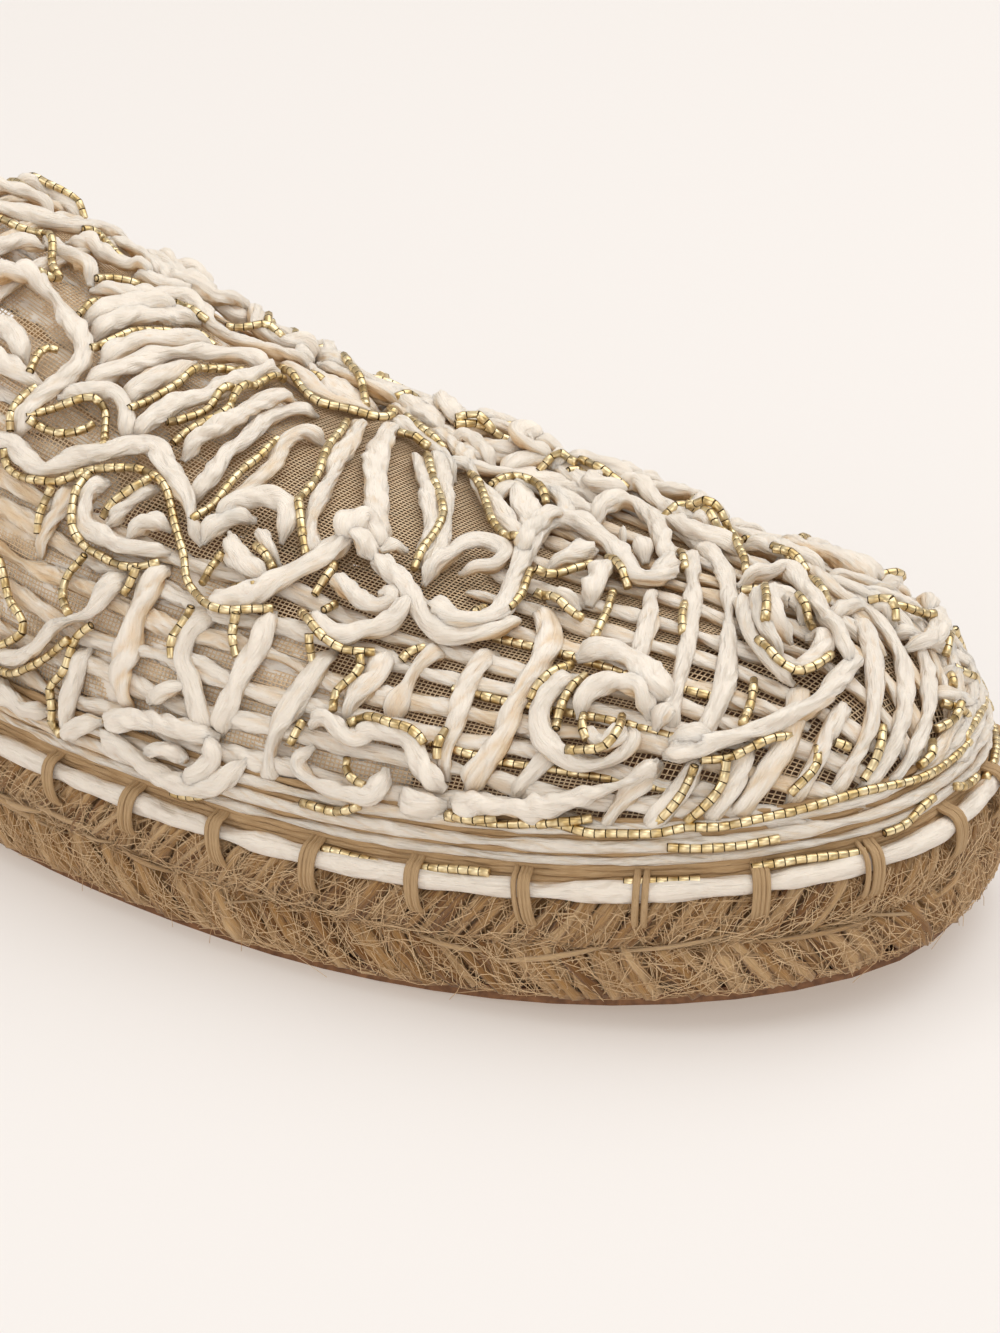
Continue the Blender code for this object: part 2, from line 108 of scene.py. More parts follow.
def new_material(name, roughness, **constants):
    """Material with a Principled shader; returns it, its node tree and the shader."""
    material = bpy.data.materials.new(name)
    material.use_nodes = True
    shader = material.node_tree.nodes["Principled BSDF"]
    shader.inputs["Roughness"].default_value = roughness
    for key, value in constants.items():
        shader.inputs[key.replace("_", " ")].default_value = value
    return material, material.node_tree, shader


floor_mesh = bpy.data.meshes.new("floor")
floor_corners = np.array([(-1, -1, 0), (1, -1, 0), (1, 1, 0), (-1, 1, 0)]) * FLOOR_REACH
floor_mesh.from_pydata(floor_corners.tolist(), [], [(0, 1, 2, 3)])
# the floor's glow is painted light that lightens the shadows on it
floor_mesh.materials.append(new_material(
    "floor_paper", FLOOR_ROUGHNESS, Base_Color=(*FLOOR_COLOUR, 1.0),
    Emission_Color=(*FLOOR_GLOW, 1.0), Emission_Strength=GLOW_STRENGTH)[0])
floor = bpy.data.objects.new("floor", floor_mesh)
bpy.context.scene.collection.objects.link(floor)


# Outsole: a thin sheet of brown crepe rubber with a crumbly grain, cut a little smaller than the sole
# and glued under the braid. The solid of the part shows here, with this material.
RUBBER_STOPS = [(0.35, (0.120, 0.050, 0.020)), (0.70, (0.250, 0.115, 0.048))]
RUBBER_ROUGHNESS = 0.75
CRUMB_SCALE, CRUMB_DETAIL = 900.0, 4.0
CRUMB_BUMP, CRUMB_RELIEF = 0.5, 0.2 * MM


def add_node(tree, kind, inputs=None, **settings):
    """New node with its settings, and its inputs set to values or linked to other nodes' outputs."""
    made = tree.nodes.new(kind)
    for key, value in settings.items():
        setattr(made, key, value)
    for key, value in (inputs or {}).items():
        if isinstance(value, bpy.types.NodeSocket):
            tree.links.new(value, made.inputs[key])
        else:
            made.inputs[key].default_value = value
    return made


def colour_ramp(tree, factor, stops):
    """Colour ramp through (place, linear colour) stops."""
    ramp = add_node(tree, "ShaderNodeValToRGB", {"Fac": factor})
    elements = ramp.color_ramp.elements
    while len(elements) < len(stops):
        elements.new(0.5)
    for element, (place, colour) in zip(elements, stops):
        element.position = place
        element.color = (*colour, 1.0)
    return ramp.outputs["Color"]


def paint(tree, shader, factor, stops):
    """Base colour of a shader from a colour ramp over the factor."""
    tree.links.new(colour_ramp(tree, factor, stops), shader.inputs["Base Color"])


def emboss(tree, shader, height, bump, relief):
    """Bump of a shader's surface by a height, of the given strength and relief."""
    raised_face = add_node(tree, "ShaderNodeBump", {"Height": height, "Strength": bump, "Distance": relief})
    tree.links.new(raised_face.outputs["Normal"], shader.inputs["Normal"])


rubber, rubber_tree, rubber_shader = new_material("crepe_rubber", RUBBER_ROUGHNESS)
place = add_node(rubber_tree, "ShaderNodeTexCoord").outputs["Object"]
crumb = add_node(rubber_tree, "ShaderNodeTexNoise",
                 {"Vector": place, "Scale": CRUMB_SCALE, "Detail": CRUMB_DETAIL}).outputs["Fac"]
paint(rubber_tree, rubber_shader, crumb, RUBBER_STOPS)
emboss(rubber_tree, rubber_shader, crumb, CRUMB_BUMP, CRUMB_RELIEF)
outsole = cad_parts["outsole"]
outsole.data.materials.clear()
outsole.data.materials.append(rubber)


# Jute sole: one thick braid of jute set on edge, wound round and sewn through, so its side shows two
# rows of leaning strands that meet in a groove like arrow heads. Loose ends lie in the groove, and
# fine fibres lie and stand all over it.
LENGTH = 250 * MM
SOLE_TOP = 14 * MM
SOLE_FOOT = 2.0 * MM                # underside of the braid, on the rubber
TOE_SPRING, SPRING_FROM = 5 * MM, 0.73
ARCH_RISE, ARCH_FROM, ARCH_TO = 1.5 * MM, 0.22, 0.62
TIP_SHIFT, TIP_FROM = 4 * MM, 0.6
PLAN = np.array([                   # fraction of the length, outer and inner half width in mm
    (0.000, 0.0, 0.0), (0.030, 18.0, 18.0), (0.100, 29.2, 29.0), (0.220, 33.0, 32.0),
    (0.360, 33.8, 29.0), (0.460, 36.5, 28.5), (0.560, 40.3, 32.5), (0.660, 41.5, 39.0),
    (0.740, 40.5, 43.2), (0.820, 37.0, 43.6), (0.890, 31.3, 39.8), (0.945, 23.2, 32.4),
    (0.980, 14.2, 21.6), (1.000, 0.0, 0.0),
])
OUTER, INNER = -1.0, 1.0
OUTLINE_STEPS = 1200
JUTE_SEED = 11
BRAID_ROWS = {                      # rise from the groove, strands, half width and depth, in mm
    "upper": (6.2, 500, 0.74, 0.90),
    "lower": (-6.9, 285, 1.22, 1.20),
}
STRAND_PATH = np.array([            # share of the way, share of the rise, inset in mm
    (0.00, -0.06, 2.2), (0.15, 0.08, 1.45), (0.35, 0.30, 1.10), (0.60, 0.58, 1.15),
    (0.80, 0.82, 1.50), (0.92, 0.94, 2.10), (1.00, 0.98, 3.20),
])
STRAND_LEAN, LEAN_VARIES = 5.0 * MM, 0.9 * MM   # how far a strand leans on its way out of the groove
STRAND_STRAY, INSET_VARIES, STRAND_UNEVEN = 0.3, 0.25 * MM, 0.14
STRAND_TURN, TURN_FROM = 1.4, 0.55  # past this share of the way its face turns up or down
THIN_START, THIN_START_WAY, THIN_END, THIN_END_WAY = 0.72, 0.20, 0.15, 0.15     # both ends thin
PLIES, PLY_SIDES, PLY_STEPS, PLY_TWIST = 3, 4, 7, 2.2
PLY_APART, PLY_WIDE, PLY_HIGH = 0.52, 0.60, 0.62   # shares of the strand's half width and depth
CORE_STEPS, CORE_TONE = 240, 0.3
CORE_PROFILE = np.array([           # share of the height, inset in mm, share of the width kept
    (0.00, 2.8, 0.00), (0.00, 2.8, 0.60), (0.00, 2.8, 1.00), (0.10, 1.9, 1.00), (0.30, 1.5, 1.00),
    (0.50, 2.0, 1.00), (0.70, 1.5, 1.00), (0.90, 2.3, 1.00), (0.975, 2.8, 1.00), (0.975, 2.8, 0.60),
    (0.975, 2.8, 0.00),
])
LOOSE_ENDS, LOOSE_STEPS, LOOSE_SIDES, LOOSE_TONE = 80, 13, 6, 0.65
LOOSE_RUN = (0.012, 0.045)          # share of the way round the sole
LOOSE_INSET, LOOSE_BOW, LOOSE_BLUNT = 1.8 * MM, 1.9 * MM, 0.6
LOOSE_STRAY, LOOSE_SLOPE = 0.8 * MM, 1.4 * MM
LOOSE_RADIUS, LOOSE_THIN = (0.12, 0.42), 0.3       # in mm, and the share left at the ends
FIBRE_RADIUS, FIBRE_REACH, FIBRE_SIDES = 0.047 * MM, (2.5 * MM, 8.0 * MM), 3
FIBRE_FACE = 0.3                    # how far the fibres' tops tip up
STRAND_SLANT = 48                   # degrees
START_LOW, CLOSE_LIE = 0.2, 0.95    # share of a row below its start, share of a strand's depth
LYING = {"count": 7200, "steps": 3, "spread": 38, "bend": 35, "stand": 0.5 * MM}
FUZZ = {"count": 2000, "steps": 4, "spread": 80, "bend": 110, "stand": 0.9 * MM}
FUZZ_TONE = 0.4
HAIRS, HAIR_STEPS, HAIR_THIN = 2000, 4, 0.8
HAIR_SHORT, HAIR_LONGER = 1.5, 5.5  # in mm; few are long
HAIR_FOOT, HAIR_SPAN, HAIR_LEAST = 2.6 * MM, 10.8 * MM, 0.5 * MM    # heights over the sole's own rise
HAIR_MIDDLE = 1.2                   # more than 1 crowds their roots towards the groove
HAIR_ROOT, HAIR_STAND, HAIR_BOW = 0.9 * MM, 0.42, 0.55             # inset, way out and way back
HAIR_DRIFT, HAIR_CURL, HAIR_RISE, HAIR_SAG = 0.8, 0.9, 0.45, 0.25  # shares of a hair's reach
JUTE_STOPS = [(0.30, (0.215, 0.090, 0.020)), (0.50, (0.445, 0.240, 0.080)), (0.70, (0.680, 0.455, 0.235))]
HAIR_STOPS = [(0.0, (0.480, 0.285, 0.130)), (1.0, (0.780, 0.570, 0.340))]
HAIR_ROUGHNESS = 0.75
STREAK_DETAIL, STREAK_ROUGHNESS = 5.0, 0.6
# the last of these paints shade into the edges of crumpled fibre's facets
FACET_SLANT, FACET_EDGE, FACET_DEPTH, FACET_PAINTED_SHADE = 0.40, 0.30, 0.55, 0.06      # of crumpled fibre
TINY = 1e-12
Part = namedtuple("Part", "points corners sizes places owner")


def unit(vectors):
    """Vectors at length 1: each divided by its own length."""
    return vectors / np.maximum(np.linalg.norm(vectors, axis=-1, keepdims=True), TINY)


def ease(x):
    """Smooth step from 0 to 1: x squared times (3 - 2 x)."""
    x = np.clip(x, 0, 1)
    return x * x * (3 - 2 * x)


def through(knots, values, at):
    """Smooth curve through a table: cubic pieces with slopes taken from the neighbouring rows."""
    slopes = np.gradient(values, knots)
    i = np.clip(np.searchsorted(knots, at) - 1, 0, len(knots) - 2)
    span = knots[i + 1] - knots[i]
    t = (at - knots[i]) / span
    rise = values[i] * (2 * t**3 - 3 * t**2 + 1) + values[i + 1] * (3 * t**2 - 2 * t**3)
    return rise + span * (slopes[i] * (t**3 - 2 * t**2 + t) + slopes[i + 1] * (t**3 - t**2))


def between(places, known, rows):
    """Rows of a table at places between its known ones, on straight lines from row to row."""
    return np.stack([np.interp(places, known, column) for column in rows.T], axis=-1)


def distance_along(lines):
    """Distance along lines of points, from the first point of each."""
    steps = np.linalg.norm(np.diff(lines, axis=-2), axis=-1)
    return np.concatenate([np.zeros((*steps.shape[:-1], 1)), np.cumsum(steps, axis=-1)], axis=-1)


def raised(plan, z):
    """Plan points, or directions, with a height to each."""
    return np.concatenate([plan, np.broadcast_to(z, plan.shape[:-1])[..., None]], axis=-1)


def angle_at(fraction):
    """Angle that places a fraction of the length on a half circle, heel 0 to toe pi."""
    return np.arccos(1 - 2 * np.clip(fraction, 0, 1))


def lift(x):
    """Rise of the sole over the floor: a squared sine under the arch, a parabola at the toe."""
    at = x / LENGTH + 0.5
    spring = np.clip((at - SPRING_FROM) / (1 - SPRING_FROM), 0, 1) ** 2
    arch = np.sin(np.pi * np.clip((at - ARCH_FROM) / (ARCH_TO - ARCH_FROM), 0, 1)) ** 2
    return TOE_SPRING * spring + ARCH_RISE * arch


def plan_point(side, angle):
    """Point of the sole's plan: x = -L/2 cos(angle), y = the axis plus or minus the half width."""
    at = (1 - np.cos(angle)) / 2
    axis = TIP_SHIFT * np.clip((at - TIP_FROM) / (1 - TIP_FROM), 0, 1) ** 2
    knots = angle_at(PLAN[:, 0])
    half = np.where(side < 0, through(knots, PLAN[:, 1] * MM, angle),
                    through(knots, PLAN[:, 2] * MM, angle))
    return np.stack([-LENGTH / 2 * np.cos(angle), axis + side * half], axis=-1)


half_turn = np.linspace(0, np.pi, OUTLINE_STEPS)
rim = np.concatenate([plan_point(np.full(OUTLINE_STEPS, OUTER), half_turn),
                      plan_point(np.full(OUTLINE_STEPS, INNER), half_turn)[-2:0:-1]])
sole_low, sole_high = [np.array(corner)[:2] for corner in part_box("jute_sole")]
plan_shift = (sole_low + sole_high) / 2 - (rim.min(axis=0) + rim.max(axis=0)) / 2
rim = rim + plan_shift
rim_along = np.roll(rim, -1, axis=0) - np.roll(rim, 1, axis=0)
rim_out = unit(np.stack([rim_along[:, 1], -rim_along[:, 0]], axis=-1))
rim = np.vstack([rim, rim[:1]])
rim_out = np.vstack([rim_out, rim_out[:1]])
rim_way = distance_along(rim)
girth = rim_way[-1]
rim_way = rim_way / girth


def round_sole(turn, inset):
    """Point and outward direction at a share of the way round the sole, moved in by the inset."""
    at = np.mod(turn, 1.0)
    out = between(at, rim_way, rim_out)
    return between(at, rim_way, rim) - np.asarray(inset)[..., None] * out, out


def plan_ring(steps, inset, kept):
    """Ring round the sole's plan, moved in by the inset, with a share of its width kept: each point
    moves towards the middle between it and the point across from it."""
    turn = np.arange(steps) / steps
    plan, mirror = [round_sole(way, inset)[0] for way in (turn, -turn)]
    return plan - (1 - kept) * (plan - mirror) / 2


def ring_angles(sides):
    """Angles round a cord, from its underside."""
    return 2 * np.pi * np.arange(sides) / sides - np.pi / 2


def swept(centre, normal, wide, high, sides, grow=1.0, turns=0.0):
    """Tubes along paths: ring = centre + grow (wide cos(a) across + high sin(a) normal), turned.

    centre and normal are (paths, steps, 3); wide, high and turns are numbers or (paths, steps), and
    grow is a number or (paths, steps, sides). Both ends close in a point. Returns points, the corners
    of the faces, the faces' sizes, the corners' texture places (mm along, share round) and the path
    that each point belongs to.
    """
    paths, steps = centre.shape[:2]
    along = unit(np.gradient(centre, axis=1))
    across = unit(np.cross(normal, along))
    out = np.cross(along, across)
    ring = ring_angles(sides)
    wide, high, spin = [np.broadcast_to(np.asarray(values, float), (paths, steps))[..., None]
                        for values in (wide, high, turns)]
    flat, tall = wide * np.cos(ring) * grow, high * np.sin(ring) * grow
    side_way = flat * np.cos(spin) - tall * np.sin(spin)
    up_way = flat * np.sin(spin) + tall * np.cos(spin)
    rings = (centre[:, :, None] + side_way[..., None] * across[:, :, None]
             + up_way[..., None] * out[:, :, None])
    points = np.concatenate([rings.reshape(paths, -1, 3), centre[:, :1], centre[:, -1:]], axis=1)
    count = steps * sides + 2
    step, side = np.meshgrid(np.arange(steps - 1), np.arange(sides), indexing="ij")
    beside = (side + 1) % sides
    quads = np.stack([step * sides + side, step * sides + beside, (step + 1) * sides + beside,
                      (step + 1) * sides + side], axis=-1).reshape(-1, 4)
    a = np.arange(sides)
    b = (a + 1) % sides
    last_ring = (steps - 1) * sides
    first = np.stack([np.full(sides, count - 2), b, a], axis=-1)
    last = np.stack([np.full(sides, count - 1), a + last_ring, b + last_ring], axis=-1)
    one = np.concatenate([quads.ravel(), first.ravel(), last.ravel()])
    sizes = np.concatenate([np.full(len(quads), 4), np.full(2 * sides, 3)])
    way = distance_along(centre) / MM
    low, top = way[:, step], way[:, step + 1]
    near = np.broadcast_to(side / sides, low.shape)
    far = near + 1 / sides
    quad_uv = np.stack([np.stack([low, near], -1), np.stack([low, far], -1), np.stack([top, far], -1),
                        np.stack([top, near], -1)], axis=3).reshape(paths, -1, 2)
    fan = np.tile(np.stack([np.full(sides, 0.5), b / sides, a / sides], axis=-1).ravel(), (paths, 1))
    fan_uv, end_uv = [np.stack([np.broadcast_to(end, fan.shape), fan], axis=-1)
                      for end in (way[:, :1], way[:, -1:])]
    places = np.concatenate([quad_uv, fan_uv, end_uv], axis=1)
    corners = (one + count * np.arange(paths)[:, None]).ravel()
    return Part(points.reshape(-1, 3), corners, np.tile(sizes, paths), places.reshape(-1, 2),
                np.repeat(np.arange(paths), count))


def joined(parts):
    """Several swept parts as one: arrays joined, corners and path numbers counted on."""
    points, corners, sizes, places, owner = zip(*parts)
    starts = np.cumsum([0] + [len(p) for p in points[:-1]])
    paths = np.cumsum([0] + [o[-1] + 1 for o in owner[:-1]])
    return Part(np.concatenate(points), np.concatenate([c + s for c, s in zip(corners, starts)]),
                np.concatenate(sizes), np.concatenate(places),
                np.concatenate([o + p for o, p in zip(owner, paths)]))


def ringed(rings):
    """Closed surface through rings of points, each joined to the next, as a part with texture places."""
    rows, count = rings.shape[:2]
    row, column = np.meshgrid(np.arange(rows - 1), np.arange(count), indexing="ij")
    beside = (column + 1) % count
    corners = np.stack([row * count + column, row * count + beside, (row + 1) * count + beside,
                        (row + 1) * count + column], axis=-1).reshape(-1)
    points = rings.reshape(-1, 3)
    return Part(points, corners, np.full((rows - 1) * count, 4), points[corners][:, :2] / MM,
                np.zeros(rows * count, int))


def add_piece(name, part, material, tones=None):
    """Mesh object of the shoe with smooth faces, texture places and a tone for each path or point."""
    mesh = bpy.data.meshes.new(name)
    mesh.vertices.add(len(part.points))
    mesh.vertices.foreach_set("co", part.points.astype(np.float32).ravel())
    mesh.loops.add(len(part.corners))
    mesh.loops.foreach_set("vertex_index", part.corners.astype(np.int32))
    mesh.polygons.add(len(part.sizes))
    starts = np.concatenate([[0], np.cumsum(part.sizes)[:-1]])
    mesh.polygons.foreach_set("loop_start", starts.astype(np.int32))
    mesh.update(calc_edges=True)
    layer = mesh.uv_layers.new(name="along")
    layer.data.foreach_set("uv", part.places.astype(np.float32).ravel())
    if tones is not None:
        tone = mesh.attributes.new("tone", "FLOAT", "POINT")
        values = np.asarray(tones) if len(tones) == len(part.points) else np.asarray(tones)[part.owner]
        tone.data.foreach_set("value", values.astype(np.float32))
    mesh.shade_smooth()
    mesh.materials.append(material)
    piece = bpy.data.objects.new(name, mesh)
    bpy.context.scene.collection.objects.link(piece)
    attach(piece, "root")
    return piece


def fibre_material(name, stops, roughness, stretch, bump, tone_share=0.0, relief=0.25 * MM, crumple=None,
                   **constants):
    """Material with streaks along its cords: noise stretched along the path, tinted by the cord's tone.

    A crumpled one has slanting facets too, of the given number to a millimetre and round the cord. They
    sink towards their edges, where painted shade darkens them.
    """
    material, tree, shader = new_material(name, roughness, **constants)
    along = add_node(tree, "ShaderNodeUVMap", uv_map="along").outputs["UV"]
    drawn = add_node(tree, "ShaderNodeMapping", {"Vector": along, "Scale": (*stretch, 1.0)})
    streak = add_node(tree, "ShaderNodeTexNoise", {
        "Vector": drawn.outputs["Vector"], "Scale": 1.0, "Detail": STREAK_DETAIL,
        "Roughness": STREAK_ROUGHNESS}).outputs["Fac"]
    factor = height = streak
    if tone_share:
        tone = add_node(tree, "ShaderNodeAttribute", attribute_name="tone").outputs["Fac"]
        factor = add_node(tree, "ShaderNodeMix",
                          {"Factor": tone_share, "A": streak, "B": tone}).outputs["Result"]
    if crumple:
        slanted = add_node(tree, "ShaderNodeMapping", {
            "Vector": along, "Scale": (*crumple, 1.0), "Rotation": (0.0, 0.0, FACET_SLANT)})
        edge = add_node(tree, "ShaderNodeTexVoronoi", {"Vector": slanted.outputs["Vector"], "Scale": 1.0},
                        feature="DISTANCE_TO_EDGE").outputs["Distance"]
        fold = add_node(tree, "ShaderNodeMapRange", {
            "Value": edge, "From Max": FACET_EDGE, "To Min": -1.0, "To Max": 0.0},
            interpolation_type="SMOOTHSTEP").outputs["Result"]
        # the facets sink at their edges, and painted shade darkens them there
        height, factor = [add_node(tree, "ShaderNodeMath", {0: fold, 1: share, 2: rest},
                                   operation="MULTIPLY_ADD").outputs["Value"]
                          for share, rest in ((FACET_DEPTH, streak), (FACET_PAINTED_SHADE, factor))]
    paint(tree, shader, factor, stops)
    emboss(tree, shader, height, bump, relief)
    return material


jute_hair, hair_tree, hair_shader = new_material("jute_hair", HAIR_ROUGHNESS)
hair_tone = add_node(hair_tree, "ShaderNodeAttribute", attribute_name="tone").outputs["Fac"]
paint(hair_tree, hair_shader, hair_tone, HAIR_STOPS)
jute = fibre_material("jute_fibre", JUTE_STOPS, roughness=0.92, stretch=(0.32, 26.0), bump=0.9,
                      tone_share=0.40, relief=0.4 * MM, Sheen_Weight=0.2)

rng = np.random.default_rng(JUTE_SEED)
groove = (SOLE_TOP + SOLE_FOOT) / 2
way = np.linspace(0, 1, PLY_STEPS)
strand_rows = []
for rise, count, wide, high in BRAID_ROWS.values():
    strand = (np.arange(count)[:, None] + STRAND_STRAY * rng.standard_normal((count, 1))) / count
    lean = (STRAND_LEAN + LEAN_VARIES * rng.standard_normal((count, 1))) / girth
    share = through(STRAND_PATH[:, 0], STRAND_PATH[:, 1], way)
    inset = through(STRAND_PATH[:, 0], STRAND_PATH[:, 2], way) * MM
    inset = inset + INSET_VARIES * rng.standard_normal((count, 1))
    strand, lean, inset = [np.repeat(values, PLIES, axis=0) for values in (strand, lean, inset)]
    ply = np.tile(np.arange(PLIES), count) / PLIES + np.repeat(rng.random(count), PLIES)
    round_strand = 2 * np.pi * ply[:, None] + PLY_TWIST * way
    plan, out = round_sole(strand + lean * way + PLY_APART * wide * MM * np.cos(round_strand) / girth,
                           inset + PLY_APART * high * MM * np.sin(round_strand))
    centre = raised(plan, lift(plan[..., 0]) + groove + rise * MM * share)
    normal = raised(out, np.sign(rise) * STRAND_TURN * ease((way - TURN_FROM) / (1 - TURN_FROM)))
    thick = THIN_START + (1 - THIN_START) * ease(way / THIN_START_WAY)
    thick = thick - THIN_END * ease((way - 1 + THIN_END_WAY) / THIN_END_WAY)
    thick = thick * (1 + STRAND_UNEVEN * rng.standard_normal((count * PLIES, PLY_STEPS)))
    strand_rows.append(swept(centre, unit(normal), PLY_WIDE * wide * MM * thick,
                             PLY_HIGH * high * MM * thick, PLY_SIDES))
strands = joined(strand_rows)
braid = add_piece("jute_braid", strands, jute, rng.random(strands.owner[-1] + 1))
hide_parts("jute_sole")

core_rings = []
for share, inset, kept in CORE_PROFILE:
    plan = plan_ring(CORE_STEPS, inset * MM, kept)
    core_rings.append(raised(plan, lift(plan[:, 0]) + SOLE_FOOT + (SOLE_TOP - SOLE_FOOT) * share))
add_piece("jute_core", ringed(np.array(core_rings)), jute, [CORE_TONE])

way = np.linspace(0, 1, LOOSE_STEPS)
turn = rng.random((LOOSE_ENDS, 1)) + way * rng.uniform(*LOOSE_RUN, (LOOSE_ENDS, 1))
bow = np.sin(np.pi * way)
plan, out = round_sole(turn, LOOSE_INSET - LOOSE_BOW * bow ** LOOSE_BLUNT)
z = lift(plan[..., 0]) + groove + LOOSE_STRAY * rng.standard_normal((LOOSE_ENDS, 1))
z = z + (2 * way - 1) * LOOSE_SLOPE * rng.standard_normal((LOOSE_ENDS, 1))
radius = rng.uniform(*LOOSE_RADIUS, (LOOSE_ENDS, 1)) * MM * (LOOSE_THIN + (1 - LOOSE_THIN) * bow)
add_piece("jute_loose_ends", swept(raised(plan, z), raised(out, 0.0), radius, radius, LOOSE_SIDES),
          jute, LOOSE_TONE + (1 - LOOSE_TONE) * rng.random(LOOSE_ENDS))


def stray_fibres(count, steps, spread, bend, stand):
    """Fine fibres on the braid: each starts anywhere on a row, runs on at a slant near the strands' own
    (spread and bend in degrees) and keeps up to a distance off the strands."""
    way = np.linspace(0, 1, steps)
    row = np.array(list(BRAID_ROWS.values()))[rng.integers(0, len(BRAID_ROWS), count)]
    rise, depth = row[:, :1], row[:, -1:]
    reach = rng.uniform(*FIBRE_REACH, (count, 1))
    slant = rng.normal(STRAND_SLANT, spread, (count, 1)) + way * rng.normal(0, bend, (count, 1))
    slant = np.radians(slant)
    climb = rng.random((count, 1)) + reach * np.sin(slant) * way / np.abs(rise * MM) - START_LOW
    climb = np.clip(climb, 0, 1)
    inset = (through(STRAND_PATH[:, 0], STRAND_PATH[:, 2], climb) - CLOSE_LIE * depth) * MM
    plan, out = round_sole(rng.random((count, 1)) + reach * np.cos(slant) * way / girth,
                           inset - stand * rng.random((count, 1)))
    z = lift(plan[..., 0]) + groove + rise * MM * through(STRAND_PATH[:, 0], STRAND_PATH[:, 1], climb)
    return swept(raised(plan, z), raised(out, FIBRE_FACE), FIBRE_RADIUS, FIBRE_RADIUS, FIBRE_SIDES)


lying = stray_fibres(**LYING)
add_piece("jute_fuzz", stray_fibres(**FUZZ), jute_hair,
          FUZZ_TONE + (1 - FUZZ_TONE) * rng.random(FUZZ["count"]))

way = np.linspace(0, 1, HAIR_STEPS)
turn = rng.random((HAIRS, 1))
root = rng.beta(HAIR_MIDDLE, HAIR_MIDDLE, (HAIRS, 1))
reach = (HAIR_SHORT + HAIR_LONGER * rng.random((HAIRS, 1)) ** 2) * MM
drift = rng.standard_normal((HAIRS, 1)) * HAIR_DRIFT
curl = rng.standard_normal((HAIRS, 1)) * HAIR_CURL
plan, out = round_sole(turn + drift * reach * (way + curl * way**2 / 2) / girth,
                       HAIR_ROOT - reach * HAIR_STAND * (way - HAIR_BOW * way**2))
ground = lift(plan[..., 0])
z = ground + HAIR_FOOT + HAIR_SPAN * root
z = z + reach * (HAIR_RISE * rng.standard_normal((HAIRS, 1)) * way - HAIR_SAG * way**2)
standing = swept(raised(plan, np.maximum(z, ground + HAIR_LEAST)), raised(out, FIBRE_FACE),
                 HAIR_THIN * FIBRE_RADIUS, HAIR_THIN * FIBRE_RADIUS, FIBRE_SIDES)
add_piece("jute_hairs", joined([lying, standing]), jute_hair, rng.random(LYING["count"] + HAIRS))


# Insole: a board covered with brown woven cotton, a little smaller than the sole, laid on the braid
# inside the upper and glued there.
GAP = 0.3 * MM                      # over the braid
INSOLE_STEPS = 200
INSOLE_PROFILE = np.array([         # height in mm, inset in mm, share of the width kept
    (0.0, 5.6, 0.0), (0.0, 5.6, 0.5), (0.0, 5.6, 1.0), (0.45, 5.2, 1.0), (1.05, 5.2, 1.0),
    (1.45, 5.7, 1.0), (1.50, 6.6, 1.0), (1.50, 6.6, 0.7), (1.50, 6.6, 0.35), (1.50, 6.6, 0.0),
])
INSOLE_STOPS = [(0.15, (0.165, 0.072, 0.026)), (0.65, (0.280, 0.140, 0.056))]
INSOLE_ROUGHNESS, INSOLE_SHEEN = 0.85, 0.2
WEAVE_PITCH, WEAVE_PERIOD = 0.9 * MM, 0.314     # a wave texture's bands at scale 1 lie this far apart
WEAVE_WAVER, WEAVE_DETAIL, WEAVE_BUMP, WEAVE_RELIEF = 1.5, 2.0, 0.6, 0.3 * MM
SOIL_SCALE, SOIL_DETAIL, SOIL_SHARE = 90.0, 5.0, 0.55

cotton, cotton_tree, cotton_shader = new_material("insole_cotton", INSOLE_ROUGHNESS,
                                                  Sheen_Weight=INSOLE_SHEEN)
place = add_node(cotton_tree, "ShaderNodeTexCoord").outputs["Object"]
yarns = [add_node(cotton_tree, "ShaderNodeTexWave", {
    "Vector": place, "Scale": WEAVE_PERIOD / WEAVE_PITCH, "Distortion": WEAVE_WAVER,
    "Detail": WEAVE_DETAIL},
    bands_direction=direction).outputs["Fac"] for direction in ("X", "Y")]
weave = add_node(cotton_tree, "ShaderNodeMath", {0: yarns[0], 1: yarns[1]},
                 operation="MULTIPLY").outputs["Value"]
soil = add_node(cotton_tree, "ShaderNodeTexNoise",
                {"Vector": place, "Scale": SOIL_SCALE, "Detail": SOIL_DETAIL}).outputs["Fac"]
shade = add_node(cotton_tree, "ShaderNodeMix",
                 {"Factor": SOIL_SHARE, "A": weave, "B": soil}).outputs["Result"]
paint(cotton_tree, cotton_shader, shade, INSOLE_STOPS)
emboss(cotton_tree, cotton_shader, weave, WEAVE_BUMP, WEAVE_RELIEF)

insole_rings = []
for height, inset, kept in INSOLE_PROFILE:
    plan = plan_ring(INSOLE_STEPS, inset * MM, kept)
    insole_rings.append(raised(plan, lift(plan[:, 0]) + SOLE_TOP + GAP + height * MM))
insole = add_piece("insole_cloth", ringed(np.array(insole_rings)), cotton)
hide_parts("insole")


# Tulle: a fine square net of beige thread, stretched over the last and held in the seam at its foot
# and in the binding at its back. The raffia is sewn on it.
RIDGE = np.array([                  # fraction of the length, height over the sole's top in mm
    (0.28, 51.0), (0.40, 50.5), (0.50, 44.0), (0.60, 36.2), (0.70, 30.2), (0.80, 25.8),
    (0.88, 23.6), (0.95, 22.5),
])
RIDGE_PLACE, RIDGE_BENDS_FROM, RIDGE_BENDS_TO = 0.53, 0.74, 0.96
ROUND_BACK, ROUND_TOE, CROWN_BACK, CROWN_TOE = 2.3, 2.4, 2.15, 2.1
SECTION_FROM, SECTION_TO = 0.45, 0.85
FEATHER_INSET = 3 * MM
NUDGE = 1e-3                        # step over which a slope is taken
UPPER_BACK, THROAT = 0.30, 0.41     # back end of the upper at its foot and on the ridge
SKIN_BACK, TIP_LEFT = 0.285, 0.06   # where the sections start, and the share before the tip where they end
STATIONS, CLIMBS, SECTIONS, GIRTH_STEPS, THROAT_STEPS = 420, 120, 240, 161, 400
